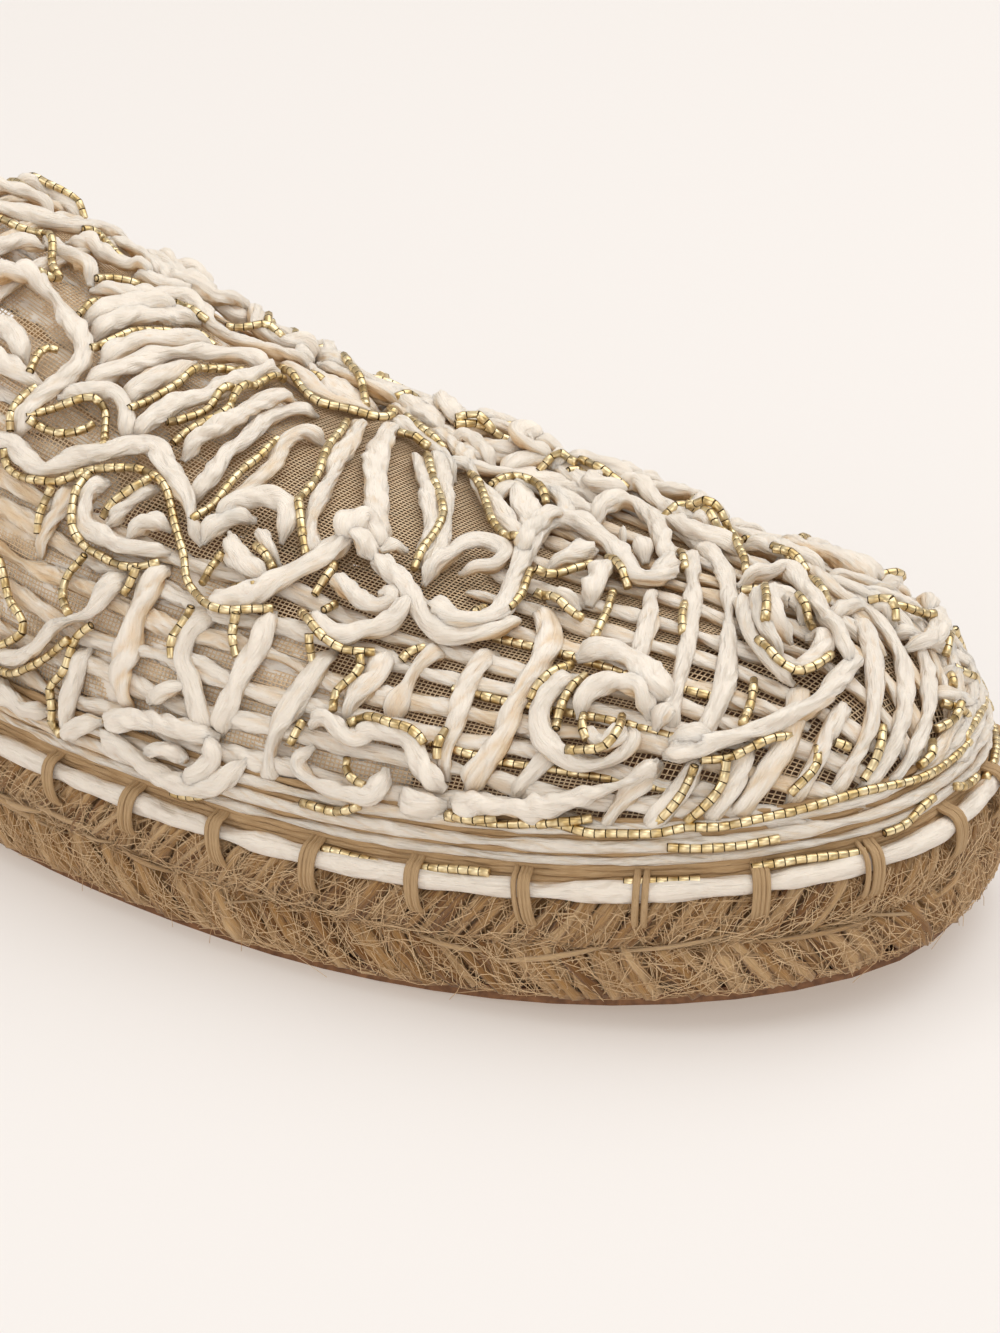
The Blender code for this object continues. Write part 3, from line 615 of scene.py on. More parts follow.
INSIDE = 1.001                      # steps that a place stays short of a table's end
AT_RIDGE = 0.499                    # shares of the girth past this one count as the ridge
TULLE_PITCH, TULLE_THREAD, TULLE_SIDES = 0.56 * MM, 0.092 * MM, 3
TULLE_STEP, TULLE_REACH, TULLE_START, TULLE_LEAST = 4.0 * MM, 168 * MM, 2 * MM, 3
TULLE_STOPS = [(0.3, (0.710, 0.485, 0.275)), (0.7, (0.900, 0.735, 0.510))]
TULLE_THINS = (0.0, 0.68, 0.36, 0.68)   # share of the widest girth where each thread of four stops


def feather(side, angle, inset):
    """Point of the plan moved in along its normal."""
    side, angle = np.broadcast_arrays(np.asarray(side, float), np.asarray(angle, float))
    ahead, behind = [plan_point(side, np.clip(angle + step, 0, np.pi)) for step in (NUDGE, -NUDGE)]
    along = ahead - behind
    out = unit(np.stack([-along[..., 1], along[..., 0]], axis=-1) * side[..., None])
    return plan_point(side, angle) - inset * out + plan_shift


def ridge_station(at):
    """Ridge station that a feather station rises to: its own along the sides, stopped at the toe."""
    span = RIDGE_BENDS_TO - RIDGE_BENDS_FROM
    t = np.clip((at - RIDGE_BENDS_FROM) / span, 0, 1)
    return np.where(at < RIDGE_BENDS_FROM, at, RIDGE_BENDS_FROM + span * (t - t * t / 2))


def skin(side, at, climb):
    """Point of the last: a quarter superellipse from the feather edge (climb 0) to the ridge (climb 1)."""
    side, at, climb = np.broadcast_arrays(*[np.asarray(values, float) for values in (side, at, climb)])
    foot = feather(side, angle_at(at), FEATHER_INSET)
    top_at = ridge_station(at)
    outer, inner = [feather(np.full_like(at, edge), angle_at(top_at), FEATHER_INSET)
                    for edge in (OUTER, INNER)]
    top = outer + (inner - outer) * RIDGE_PLACE
    top_z = SOLE_TOP + GAP + lift(top[..., 0]) + through(RIDGE[:, 0], RIDGE[:, 1] * MM, top_at)
    blend = ease((top_at - SECTION_FROM) / (SECTION_TO - SECTION_FROM))
    across = ROUND_BACK + (ROUND_TOE - ROUND_BACK) * blend
    upwards = CROWN_BACK + (CROWN_TOE - CROWN_BACK) * blend
    out = np.clip(np.cos(np.pi / 2 * climb), 0, 1) ** (2 / across)
    up = np.clip(np.sin(np.pi / 2 * climb), 0, 1) ** (2 / upwards)
    foot_z = SOLE_TOP + GAP + lift(foot[..., 0])
    return raised(top + (foot - top) * out[..., None], foot_z + (top_z - foot_z) * up)


def cross_sections():
    """The last as sections across the foot: places along it, the girth at each, and for each the wall
    from the outer feather edge over the top to the inner one, in equal steps of its own length."""
    at = 1 - np.linspace(np.sqrt(1 - SKIN_BACK), 0, STATIONS) ** 2
    walls = [skin(side, at[:, None], np.linspace(0, 1, CLIMBS)) for side in (OUTER, INNER)]
    tip = walls[0][-1, 0, 0]
    back = max(wall[0, :, 0].max() for wall in walls)
    place = tip - (tip - back) * np.linspace(1, TIP_LEFT, SECTIONS) ** 2
    halves = []
    for wall in walls:
        cut = np.stack([between(place, line[:, 0], line) for line in wall.transpose(1, 0, 2)], axis=1)
        nose = wall[-1, ::-1]
        crest = between(place, nose[:, 0], nose)
        past = place[:, None] > wall[-1, :, 0]
        halves.append(np.where(past[..., None], crest[:, None], cut))
    section = np.concatenate([halves[0], halves[1][:, ::-1]], axis=1)
    arc = distance_along(section)
    share = np.linspace(0, 1, GIRTH_STEPS)
    even = np.stack([between(share * a[-1], a, s) for a, s in zip(arc, section)])
    return place, arc[:, -1], even


section_x, section_girth, last_skin = cross_sections()
last_normal = unit(np.cross(np.gradient(last_skin, axis=0), np.gradient(last_skin, axis=1)))


def on_skin(x, q, out):
    """Points over the last and the normals there, by place along the foot and share of the girth: the mean
    of the four grid points round each place, by nearness, moved out along the normal."""
    i = np.clip(np.interp(x, section_x, np.arange(SECTIONS)), 0, SECTIONS - INSIDE)
    j = np.clip(np.asarray(q) * (GIRTH_STEPS - 1), 0, GIRTH_STEPS - INSIDE)
    i, j = np.broadcast_arrays(i, j)
    i0, j0 = i.astype(int), j.astype(int)
    u, v = (i - i0)[..., None], (j - j0)[..., None]
    point, normal = [(grid[i0, j0] * (1 - u) * (1 - v) + grid[i0 + 1, j0] * u * (1 - v)
                      + grid[i0, j0 + 1] * (1 - u) * v + grid[i0 + 1, j0 + 1] * u * v)
                     for grid in (last_skin, last_normal)]
    normal = unit(normal)
    return point + np.asarray(out)[..., None] * normal, normal


def throat_x(q):
    """Place along the foot where the upper ends at its back, lowest at the foot, highest on the ridge."""
    return LENGTH * (UPPER_BACK + (THROAT - UPPER_BACK) * ease(1 - np.abs(2 * q - 1)) - 0.5)


def across_runs(x, foot):
    """Shares of the girth that a line across the foot covers: one run, or two where the throat parts it."""
    rising = np.linspace(0, 0.5, THROAT_STEPS)
    end = np.interp(x, throat_x(rising), rising)
    return [(foot, 1 - foot)] if end >= AT_RIDGE else [(foot, end), (1 - end, 1 - foot)]


tulle = fibre_material("tulle_thread", TULLE_STOPS, roughness=0.6, stretch=(0.8, 2.0), bump=0.3)
widest = section_girth.max()
threads = int(widest / TULLE_PITCH)
net_q = (np.arange(threads) + 0.5) / threads
toe_half = slice(None, SECTIONS // 2)
stop_x = np.interp(np.resize(TULLE_THINS, threads), (section_girth[::-1] / widest)[toe_half],
                   section_x[::-1][toe_half])
start_x = throat_x(net_q)[:, None]
long_x = start_x + (stop_x[:, None] - start_x) * np.linspace(0, 1, int(TULLE_REACH / TULLE_STEP))
tulle_long = add_piece("tulle_lengthwise", swept(*on_skin(long_x, net_q[:, None], 0.0), TULLE_THREAD,
                                                 TULLE_THREAD, TULLE_SIDES), tulle)
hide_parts("upper")

net_parts = []
for x in np.arange(section_x[0] + TULLE_START, section_x[-1], TULLE_PITCH):
    for start, stop in across_runs(x, 0.0):
        length = (stop - start) * np.interp(x, section_x, section_girth)
        steps = max(int(length / TULLE_STEP), TULLE_LEAST)
        point, normal = on_skin(x, np.linspace(start, stop, steps), 0.0)
        net_parts.append(swept(point[None], normal[None], TULLE_THREAD, TULLE_THREAD, TULLE_SIDES))
tulle_cross = add_piece("tulle_crosswise", joined(net_parts), tulle)
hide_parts("upper")


# Raffia rows: flat strips of pale raffia laid along the foot on the tulle and sewn down, under all that
# crosses them. Low on the sides they lie close, on top of the foot there are none, and at the toe they
# close up. Broader ones lie under the net.
ROW_WIDE, ROW_HIGH, ROW_OUT, ROW_STEP = 1.15 * MM, 0.60 * MM, 0.75 * MM, 1.15 * MM
ROW_LOW = np.array([0.088, 0.123, 0.158, 0.193, 0.228, 0.263])      # shares of the girth
ROW_HIGH_UP = np.array([0.305, 0.350, 0.395, 0.440, 0.485])
ROW_TOE_FROM, ROW_TOE_TO = 66 * MM, (112 * MM, 121 * MM)
ROW_STARTS_VARY, ROW_STOPS_VARY = 4 * MM, 5 * MM
ROW_BROAD_TO, ROW_BROAD_BY = 30 * MM, 0.55
ROW_POINTS, ROW_SWAY, SWAY_WAVE = 160, 0.006, 24 * MM
ROW_TONE, ROW_TONE_VARIES, ROW_HEEL_DROP = 0.45, 0.35, 0.32
ROW_FILL = np.array([0.070, 0.106, 0.141, 0.176, 0.211, 0.246, 0.300, 0.345, 0.390, 0.440, 0.490])
ROW_FILL_TO = np.array([78, 76, 72, 66, 58, 48, 24, 23, 24, 30, 33]) * MM
ROW_FILL_OUT = -0.45 * MM           # these lie under the tulle
FILL_WIDE, FILL_HIGH, FILL_STEP = 2.1, 0.6, 1.3     # shares of the other rows' sizes
FILL_POINTS, FILL_SWAY, FILL_ROLL, FILL_LIGHTER = 120, 0.004, 0.2, 0.35
RAFFIA_SEED = 23
RAFFIA_STEP, RAFFIA_SIDES, LEAST_STEPS = 0.48 * MM, 13, 4
# the lowest stop colours the painted shade in the raffia's creases and on its undersides
RAFFIA_STOPS = [(0.06, (0.590, 0.335, 0.125)), (0.34, (0.810, 0.625, 0.420)), (0.60, (0.875, 0.793, 0.695))]
WANDER_WAVES, WANDER_HEIGHT = np.array([1.0, 1.7, 2.9]), 1.5
WIDTH_VARIES, WIDTH_WAVE = 0.13, 10 * MM
HEIGHT_VARIES, HEIGHT_WAVE = 0.16, 7 * MM
PINCH_WAVE, PINCH_OVER, PINCH_RISE = 13 * MM, 0.45, 0.3
ROLL_WAVE = 12 * MM
END_LEFT, END_TAPER = 0.4, 2.2 * MM
CREASES = 6                         # waves that cross to crease a cord
CREASE_WAVE, CREASE_LOBES = (4.0, 14.0), (1, 4)     # their lengths in mm, their number round the cord
CREASE_LEVEL, CREASE_EDGE = 1.1, 0.3
# painted shade: the raffia's tone drops in its creases and on its underside, where shade falls
CREASE_PAINTED_SHADE, UNDERSIDE_PAINTED_SHADE, UNDERSIDE_SHADE_FROM = 0.17, 0.60, 0.4
TONE_DROP_TO = 45 * MM                  # raffia's tone drops behind this place


def wander(way, scale, rng):
    """Soft irregular wave, about -1 to 1, along a path: three sines of unlike length and phase."""
    waves = scale * WANDER_WAVES
    sines = np.sin(2 * np.pi * way[:, None] / waves + 2 * np.pi * rng.random(len(waves)))
    return sines.mean(axis=1) * WANDER_HEIGHT


def evenly(step, *lines):
    """Lines of points resampled at even steps of the first one's length, and the distance along it."""
    way = distance_along(lines[0])
    even = np.linspace(0, way[-1], max(int(round(way[-1] / step)), LEAST_STEPS) + 1)
    return even, *[between(even, way, line) for line in lines]


def raffia(point, normal, wide, high, rng, roll=0.45, fold=0.22, step=RAFFIA_STEP, pinched=0.6):
    """Raffia cord: a flat strip bunched and twisted one way. Its width and height waver, it pinches here
    and there and rolls a little from side to side. Creases lie where a sum of waves, askew round and
    along it, is zero: its ring grows by 1 + fold (2 |sum| - level), less at its edges. Both ends taper.
    Returns the part and its tone, with painted shade that makes it darker in the creases and on the
    underside."""
    way, centre, out = evenly(step, point, normal)
    pinch = np.clip(wander(way, PINCH_WAVE, rng) - PINCH_OVER, 0, 1) * pinched
    taper = END_LEFT + (1 - END_LEFT) * ease(np.minimum(way, way[-1] - way) / END_TAPER)
    ring = ring_angles(RAFFIA_SIDES)
    length = rng.uniform(*CREASE_WAVE, CREASES) * MM
    lobes = rng.integers(*CREASE_LOBES, CREASES) * rng.choice([-1, 1])
    phase = 2 * np.pi * rng.random(CREASES)
    waves = np.cos(2 * np.pi * way[:, None, None] / length + lobes * ring[:, None] + phase).sum(axis=-1)
    crease = 2 * np.abs(waves) / np.sqrt(CREASES) - CREASE_LEVEL
    face = CREASE_EDGE + (1 - CREASE_EDGE) * np.abs(np.sin(ring))
    width = wide * (1 + WIDTH_VARIES * wander(way, WIDTH_WAVE, rng)) * (1 - pinch) * taper
    height = high * (1 + HEIGHT_VARIES * wander(way, HEIGHT_WAVE, rng)) * (1 + PINCH_RISE * pinch) * taper
    turns = roll * wander(way, ROLL_WAVE, rng)
    part = swept(centre[None], unit(out)[None], width[None], height[None], RAFFIA_SIDES,
                 1 + fold * (crease * face)[None], turns[None])
    # painted shade: the tone drops in the creases and on the underside of the cord
    tone = CREASE_PAINTED_SHADE * crease + UNDERSIDE_PAINTED_SHADE * np.minimum(np.sin(ring) - UNDERSIDE_SHADE_FROM, 0)
    return part, np.concatenate([tone.ravel(), [-UNDERSIDE_PAINTED_SHADE, -UNDERSIDE_PAINTED_SHADE]])


def add_raffia(name, cords, tones, heel_drop=0.0):
    """Raffia cords as one piece; a cord's tone is its own, with painted shade in its creases and on its
    underside, and lower towards the heel.
    """
    parts, painted_shades = zip(*cords)
    part = joined(parts)
    tone = np.asarray(tones)[part.owner] + np.concatenate(painted_shades)
    # the tone drops towards the heel
    tone = tone - heel_drop * (1 - ease(part.points[:, 0] / TONE_DROP_TO))
    return add_piece(name, part, raffia_white, np.clip(tone, 0, 1))


raffia_white = fibre_material(
    "raffia_white", RAFFIA_STOPS, roughness=0.45, stretch=(0.22, 14.0), bump=1.0, tone_share=0.65,
    relief=0.6 * MM, crumple=(0.21, 3.6), Subsurface_Weight=0.40, Subsurface_Radius=(1.0, 0.94, 0.86),
    Subsurface_Scale=0.8 * MM)
rng = np.random.default_rng(RAFFIA_SEED)
row_parts = []
for number, q in enumerate(np.concatenate([ROW_LOW, 1 - ROW_LOW, ROW_HIGH_UP, 1 - ROW_HIGH_UP])):
    low = min(q, 1 - q) < ROW_HIGH_UP[0]
    start = throat_x(q) if low else ROW_TOE_FROM + ROW_STARTS_VARY * rng.random()
    stop = ROW_TOE_TO[number % len(ROW_TOE_TO)] - ROW_STOPS_VARY * rng.random()
    x = np.linspace(start, stop, ROW_POINTS)
    broad = 1 + ROW_BROAD_BY * low * ease((ROW_BROAD_TO - x.mean()) / ROW_BROAD_TO)
    row_line = on_skin(x, q + ROW_SWAY * wander(x, SWAY_WAVE, rng), ROW_OUT)
    row_parts.append(raffia(*row_line, ROW_WIDE * broad, ROW_HIGH, rng, step=ROW_STEP))
for q, stop in zip(np.concatenate([ROW_FILL, 1 - ROW_FILL]), np.tile(ROW_FILL_TO, 2)):
    x = np.linspace(throat_x(q), stop, FILL_POINTS)
    row_line = on_skin(x, q + FILL_SWAY * wander(x, SWAY_WAVE, rng), ROW_FILL_OUT)
    row_parts.append(raffia(*row_line, FILL_WIDE * ROW_WIDE, FILL_HIGH * ROW_HIGH, rng, roll=FILL_ROLL,
                            step=FILL_STEP * ROW_STEP, pinched=0.0))
row_tones = ROW_TONE + ROW_TONE_VARIES * rng.random(len(row_parts))
row_tones[-2 * len(ROW_FILL):] += FILL_LIGHTER
rows = add_raffia("raffia_rows", row_parts, row_tones, ROW_HEEL_DROP)
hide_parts("upper")


# Raffia strips: they run up from the band across the foot, sewn over the rows, a few millimetres
# apart. Their places on the outer side are read from the photograph as pixels and laid on the last,
# the inner side has the same ones the other way round, and the back has plain ones.
STRIP_WIDE, STRIP_HIGH, STRIP_OUT = 1.15 * MM, 0.75 * MM, 1.55 * MM
STRIP_TONE, STRIP_TONE_VARIES, STRIP_HEEL_DROP = 0.6, 0.4, 0.16
LAY_OUT = 1.8 * MM                  # the surface over the last that the routes are laid on
STRIP_ROUTES = {
    "strip_01": [(38, 545), (50, 521), (63, 502), (65, 490)],
    "strip_02": [(80, 656), (72, 682), (65, 714), (65, 734)],
    "strip_03": [(158, 569), (147, 591), (134, 617), (130, 638), (119, 671), (124, 704)],
    "strip_04": [(205, 615), (189, 628), (182, 660), (189, 680), (195, 703), (202, 725)],
    "strip_05": [(267, 617), (258, 645), (241, 673), (230, 699), (217, 725)],
    "strip_06": [(325, 653), (310, 675), (293, 699), (277, 725), (269, 751), (267, 777)],
    "strip_07": [(379, 655), (375, 675), (358, 692), (347, 712)],
    "strip_08": [(436, 649), (418, 666), (407, 684), (394, 710)],
    "strip_09": [(488, 653), (472, 673), (462, 694), (455, 723), (446, 746), (444, 768)],
    "strip_10": [(544, 614), (551, 640), (540, 662), (525, 688), (514, 707), (505, 733), (488, 759),
                 (470, 783)],
    "strip_11": [(548, 755), (533, 772), (516, 790)],
    "strip_12": [(650, 597), (648, 625), (641, 647), (637, 658)],
    "strip_13": [(691, 558), (693, 582), (691, 614), (687, 647), (680, 673), (676, 690), (672, 718)],
    "strip_14": [(706, 547), (722, 564), (728, 586), (729, 621), (728, 658), (722, 690), (711, 718),
                 (704, 734)],
    "strip_15": [(800, 690), (790, 735), (773, 766), (756, 791), (740, 813)],
    "strip_16": [(843, 707), (827, 735), (815, 765), (797, 797)],
    "strip_17": [(863, 622), (874, 656), (876, 693), (871, 726), (857, 757), (838, 791)],
    "strip_18": [(838, 612), (852, 604), (866, 604), (880, 618), (892, 636), (903, 658), (907, 690),
                 (902, 724), (890, 756), (870, 783)],
    "strip_19": [(832, 578), (856, 586), (880, 598), (900, 614), (916, 636), (927, 660), (930, 690),
                 (926, 724), (911, 757), (896, 778)],
    "strip_20": [(880, 587), (905, 598), (928, 614), (944, 636), (955, 662), (960, 692), (955, 722),
                 (945, 742), (930, 764)],
    "strip_21": [(905, 594), (930, 610), (952, 634), (966, 662), (972, 692), (968, 722), (955, 745)],
    "strip_22": [(925, 602), (948, 622), (966, 648), (977, 676), (980, 705), (976, 730), (962, 755)],
    "strip_23": [(950, 618), (968, 642), (980, 668), (987, 700), (986, 726)],
    "strip_24": [(806, 566), (826, 578), (846, 596), (862, 605)],
    "strip_25": [(822, 602), (832, 622), (842, 640), (855, 655)],
    "strip_26": [(697, 760), (681, 788), (667, 806), (650, 828)],
    "strip_27": [(748, 748), (738, 771), (728, 791), (708, 818)],
    "strip_28": [(653, 768), (627, 794), (605, 824)],
    "petal_01": [(195, 491), (212, 474), (225, 454), (245, 439), (265, 419), (290, 408), (308, 406)],
    "petal_02": [(236, 495), (256, 480), (271, 467), (286, 441), (304, 430), (316, 432)],
    "petal_03": [(312, 547), (310, 521), (319, 497), (332, 477), (336, 460), (349, 443), (358, 425)],
    "petal_04": [(381, 525), (377, 499), (375, 471), (381, 443), (388, 430)],
    "petal_05": [(420, 460), (427, 482), (431, 503), (433, 525), (425, 547)],
    "petal_06": [(440, 458), (444, 482), (446, 503), (444, 532), (433, 558)],
    "petal_07": [(453, 460), (468, 464), (477, 480), (490, 497), (505, 519), (520, 538), (527, 547)],
    "petal_08": [(499, 490), (516, 486), (525, 503), (535, 525)],
    "petal_09": [(548, 490), (564, 501), (572, 519), (583, 523)],
    "top_1": [(284, 366), (302, 377), (318, 389), (335, 398), (352, 403), (366, 405)],
    "top_2": [(308, 366), (325, 378), (340, 388), (356, 397), (372, 400)],
    "top_3": [(335, 364), (348, 376), (362, 388), (378, 396), (396, 402)],
    "top_4": [(396, 420), (412, 429), (428, 440), (442, 450), (450, 462)],
    "top_5": [(398, 408), (418, 420), (438, 430), (456, 444), (468, 460)],
    "top_6": [(428, 418), (455, 432), (482, 442), (512, 448), (540, 456)],
    "top_7": [(462, 446), (486, 454), (512, 458), (540, 462), (570, 470)],
    "top_8": [(470, 462), (494, 470), (522, 472), (550, 478), (580, 488), (606, 500)],
    "top_9": [(500, 478), (530, 482), (556, 492), (580, 504), (598, 514)],
    "top_10": [(590, 488), (620, 500), (650, 512), (680, 528), (705, 542)],
}
BROAD_STRIPS = {                    # shares of the strips' width
    "petal_04": 1.40, "petal_08": 1.40, "strip_03": 1.30, "strip_04": 1.30, "strip_05": 1.30,
    "strip_06": 1.30, "strip_07": 1.30, "strip_08": 1.35, "strip_10": 1.25, "strip_13": 0.90,
    "strip_15": 1.10, "strip_16": 0.90, "strip_17": 0.90, "strip_18": 0.90, "strip_19": 0.85,
    "strip_20": 0.80, "strip_21": 0.75, "strip_22": 0.75, "strip_23": 0.70, "top_1": 1.30, "top_10": 1.40,
    "top_2": 1.40, "top_6": 1.70, "top_7": 1.60, "top_8": 1.40,
}
RUN_ON = 12                         # pixels that a strip goes on, under the cords that cover its ends
END_SINK, END_REACH = 1.4 * MM, 2.4 * MM
RAY_NEAR, RAY_FAR, RAY_TRIES = 0.30, 0.62, 160      # where a ray that passes by is tried, in metres
MIRROR_FROM = 0.34                  # share of the way out to the edge from which a route is repeated
THROAT_OVER, SHORTEST, PATH_STEPS = 2.0 * MM, 5, 6
SOFT_LINE, SOFT_NORMAL = 3, 6       # times that a path and its normals are softened
PLAIN_PITCH, PLAIN_TO, PLAIN_SHORT = 6.3 * MM, -6 * MM, 2 * MM
PLAIN_LEAST, PLAIN_POINTS, PLAIN_SWAY, PLAIN_WAVE = 0.03, 120, 1.2 * MM, 0.3
BAND_Q = 0.055                      # share of the girth under the band

lay_points = last_skin + LAY_OUT * last_normal
cell_i, cell_j = np.meshgrid(np.arange(SECTIONS - 1), np.arange(GIRTH_STEPS - 1), indexing="ij")
cells = np.stack([cell_i * GIRTH_STEPS + cell_j, (cell_i + 1) * GIRTH_STEPS + cell_j,
                  (cell_i + 1) * GIRTH_STEPS + cell_j + 1, cell_i * GIRTH_STEPS + cell_j + 1], axis=-1)
cells = cells.reshape(-1, 4)
lay_surface = BVHTree.FromPolygons(lay_points.reshape(-1, 3).tolist(), cells.tolist())


def touch(pixel):
    """Point of the lay surface under a pixel; a ray that passes by it takes the nearest point."""
    ray = Vector(-FOCAL_PIXELS * toward_camera + (pixel[0] - PHOTO_WIDTH / 2) * to_right
                 - (pixel[1] - PHOTO_HEIGHT / 2) * to_top).normalized()
    hit = lay_surface.ray_cast(Vector(eye), ray)[0]
    if hit is None:
        tries = [lay_surface.find_nearest(Vector(eye) + ray * far)
                 for far in np.linspace(RAY_NEAR, RAY_FAR, RAY_TRIES)]
        hit = min(tries, key=lambda found: found[3])[0]
    return np.array(hit)


def soften(values, times):
    """Values along a path, each with its neighbours as (before + 2 own + after) / 4, the ends kept."""
    for _ in range(times):
        mean = (values[:-2] + 2 * values[1:-1] + values[2:]) / 4
        values = np.concatenate([values[:1], mean, values[-1:]])
    return values


def smoothly(places, known, rows):
    """Rows of a table at places between its known ones, on smooth curves through the rows."""
    return np.stack([through(known, column, places) for column in rows.T], axis=-1)


def nearest(line):
    """Points of the lay surface nearest to a line's, and the cells that they lie in."""
    found = [lay_surface.find_nearest(Vector(point)) for point in line]
    return np.array([hit[0] for hit in found]), np.array([hit[2] for hit in found])


def cell_normals(cell, times):
    """Normals of the last at cells of the lay surface along a path, softened."""
    return unit(soften(last_normal.reshape(-1, 3)[cells[cell, 0]], times))


def over_knots(knots):
    """Smooth path through points on the lay surface, cut off at the throat, and the last's normals."""
    way = distance_along(knots)
    fine = np.linspace(0, way[-1], max(int(way[-1] / RAFFIA_STEP), PATH_STEPS))
    line, cell = nearest(smoothly(fine, way, knots))
    kept = (soften(line, SOFT_LINE), cell_normals(cell, SOFT_NORMAL))
    share = cell % (GIRTH_STEPS - 1) / (GIRTH_STEPS - 1)
    in_front = kept[0][:, 0] > throat_x(share) - THROAT_OVER
    return [values[in_front] for values in kept]


def tucked(line):
    """Depth that a cord's ends go down by, to tuck under what lies over them: the sink at an end, eased
    to 0 over the reach."""
    way = distance_along(line)
    return END_SINK * (1 - ease(np.minimum(way, way[-1] - way) / END_REACH))


def over_last(line, normal, height):
    """Path on the lay surface moved to a height over the last, and its normals."""
    return line + (np.asarray(height) - LAY_OUT)[..., None] * normal, normal


def to_inner_side(knots):
    """The knots on the other side of the ridge, at the same share of the way out to the edge; those
    that lie near the ridge are left out."""
    middle, foot, far = [np.interp(knots[:, 0], section_x, last_skin[:, j, 1])
                         for j in (GIRTH_STEPS // 2, 0, GIRTH_STEPS - 1)]
    share = (knots[:, 1] - middle) / (foot - middle)
    other = knots.copy()
    other[:, 1] = middle + share * (far - middle)
    return nearest(other)[0][share > MIRROR_FROM]


def both_sides(routes):
    """Paths of the routes on the outer side and of their likes on the inner one: (name, line, normals)."""
    paths = []
    for name, route in routes.items():
        knots = np.array([touch(pixel) for pixel in route])
        other = to_inner_side(knots)
        paths += [(name, *over_knots(side)) for side in (knots, other) if len(side) > 1]
    return [path for path in paths if len(path[1]) > SHORTEST]


def run_on(route):
    """Route with both ends moved on, each the way that its last stretch points."""
    places = np.array(route, float)
    places[0] += RUN_ON * unit(places[0] - places[1])
    places[-1] += RUN_ON * unit(places[-1] - places[-2])
    return places


strip_paths = both_sides({name: run_on(route) for name, route in STRIP_ROUTES.items()})
for x in np.arange(PLAIN_TO, throat_x(0.0) + PLAIN_SHORT, -PLAIN_PITCH):
    for start, stop in across_runs(x, BAND_Q):
        if stop - start > PLAIN_LEAST:
            q = np.linspace(start, stop, PLAIN_POINTS)
            strip_paths.append(("plain", *on_skin(x + PLAIN_SWAY * wander(q, PLAIN_WAVE, rng), q, LAY_OUT)))
strip_parts = [raffia(*over_last(line, normal, STRIP_OUT - tucked(line)),
                      STRIP_WIDE * BROAD_STRIPS.get(name, 1.0), STRIP_HIGH, rng)
               for name, line, normal in strip_paths]
strip_tones = STRIP_TONE + STRIP_TONE_VARIES * rng.random(len(strip_parts))
strips = add_raffia("raffia_strips", strip_parts, strip_tones, STRIP_HEEL_DROP)
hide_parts("upper")


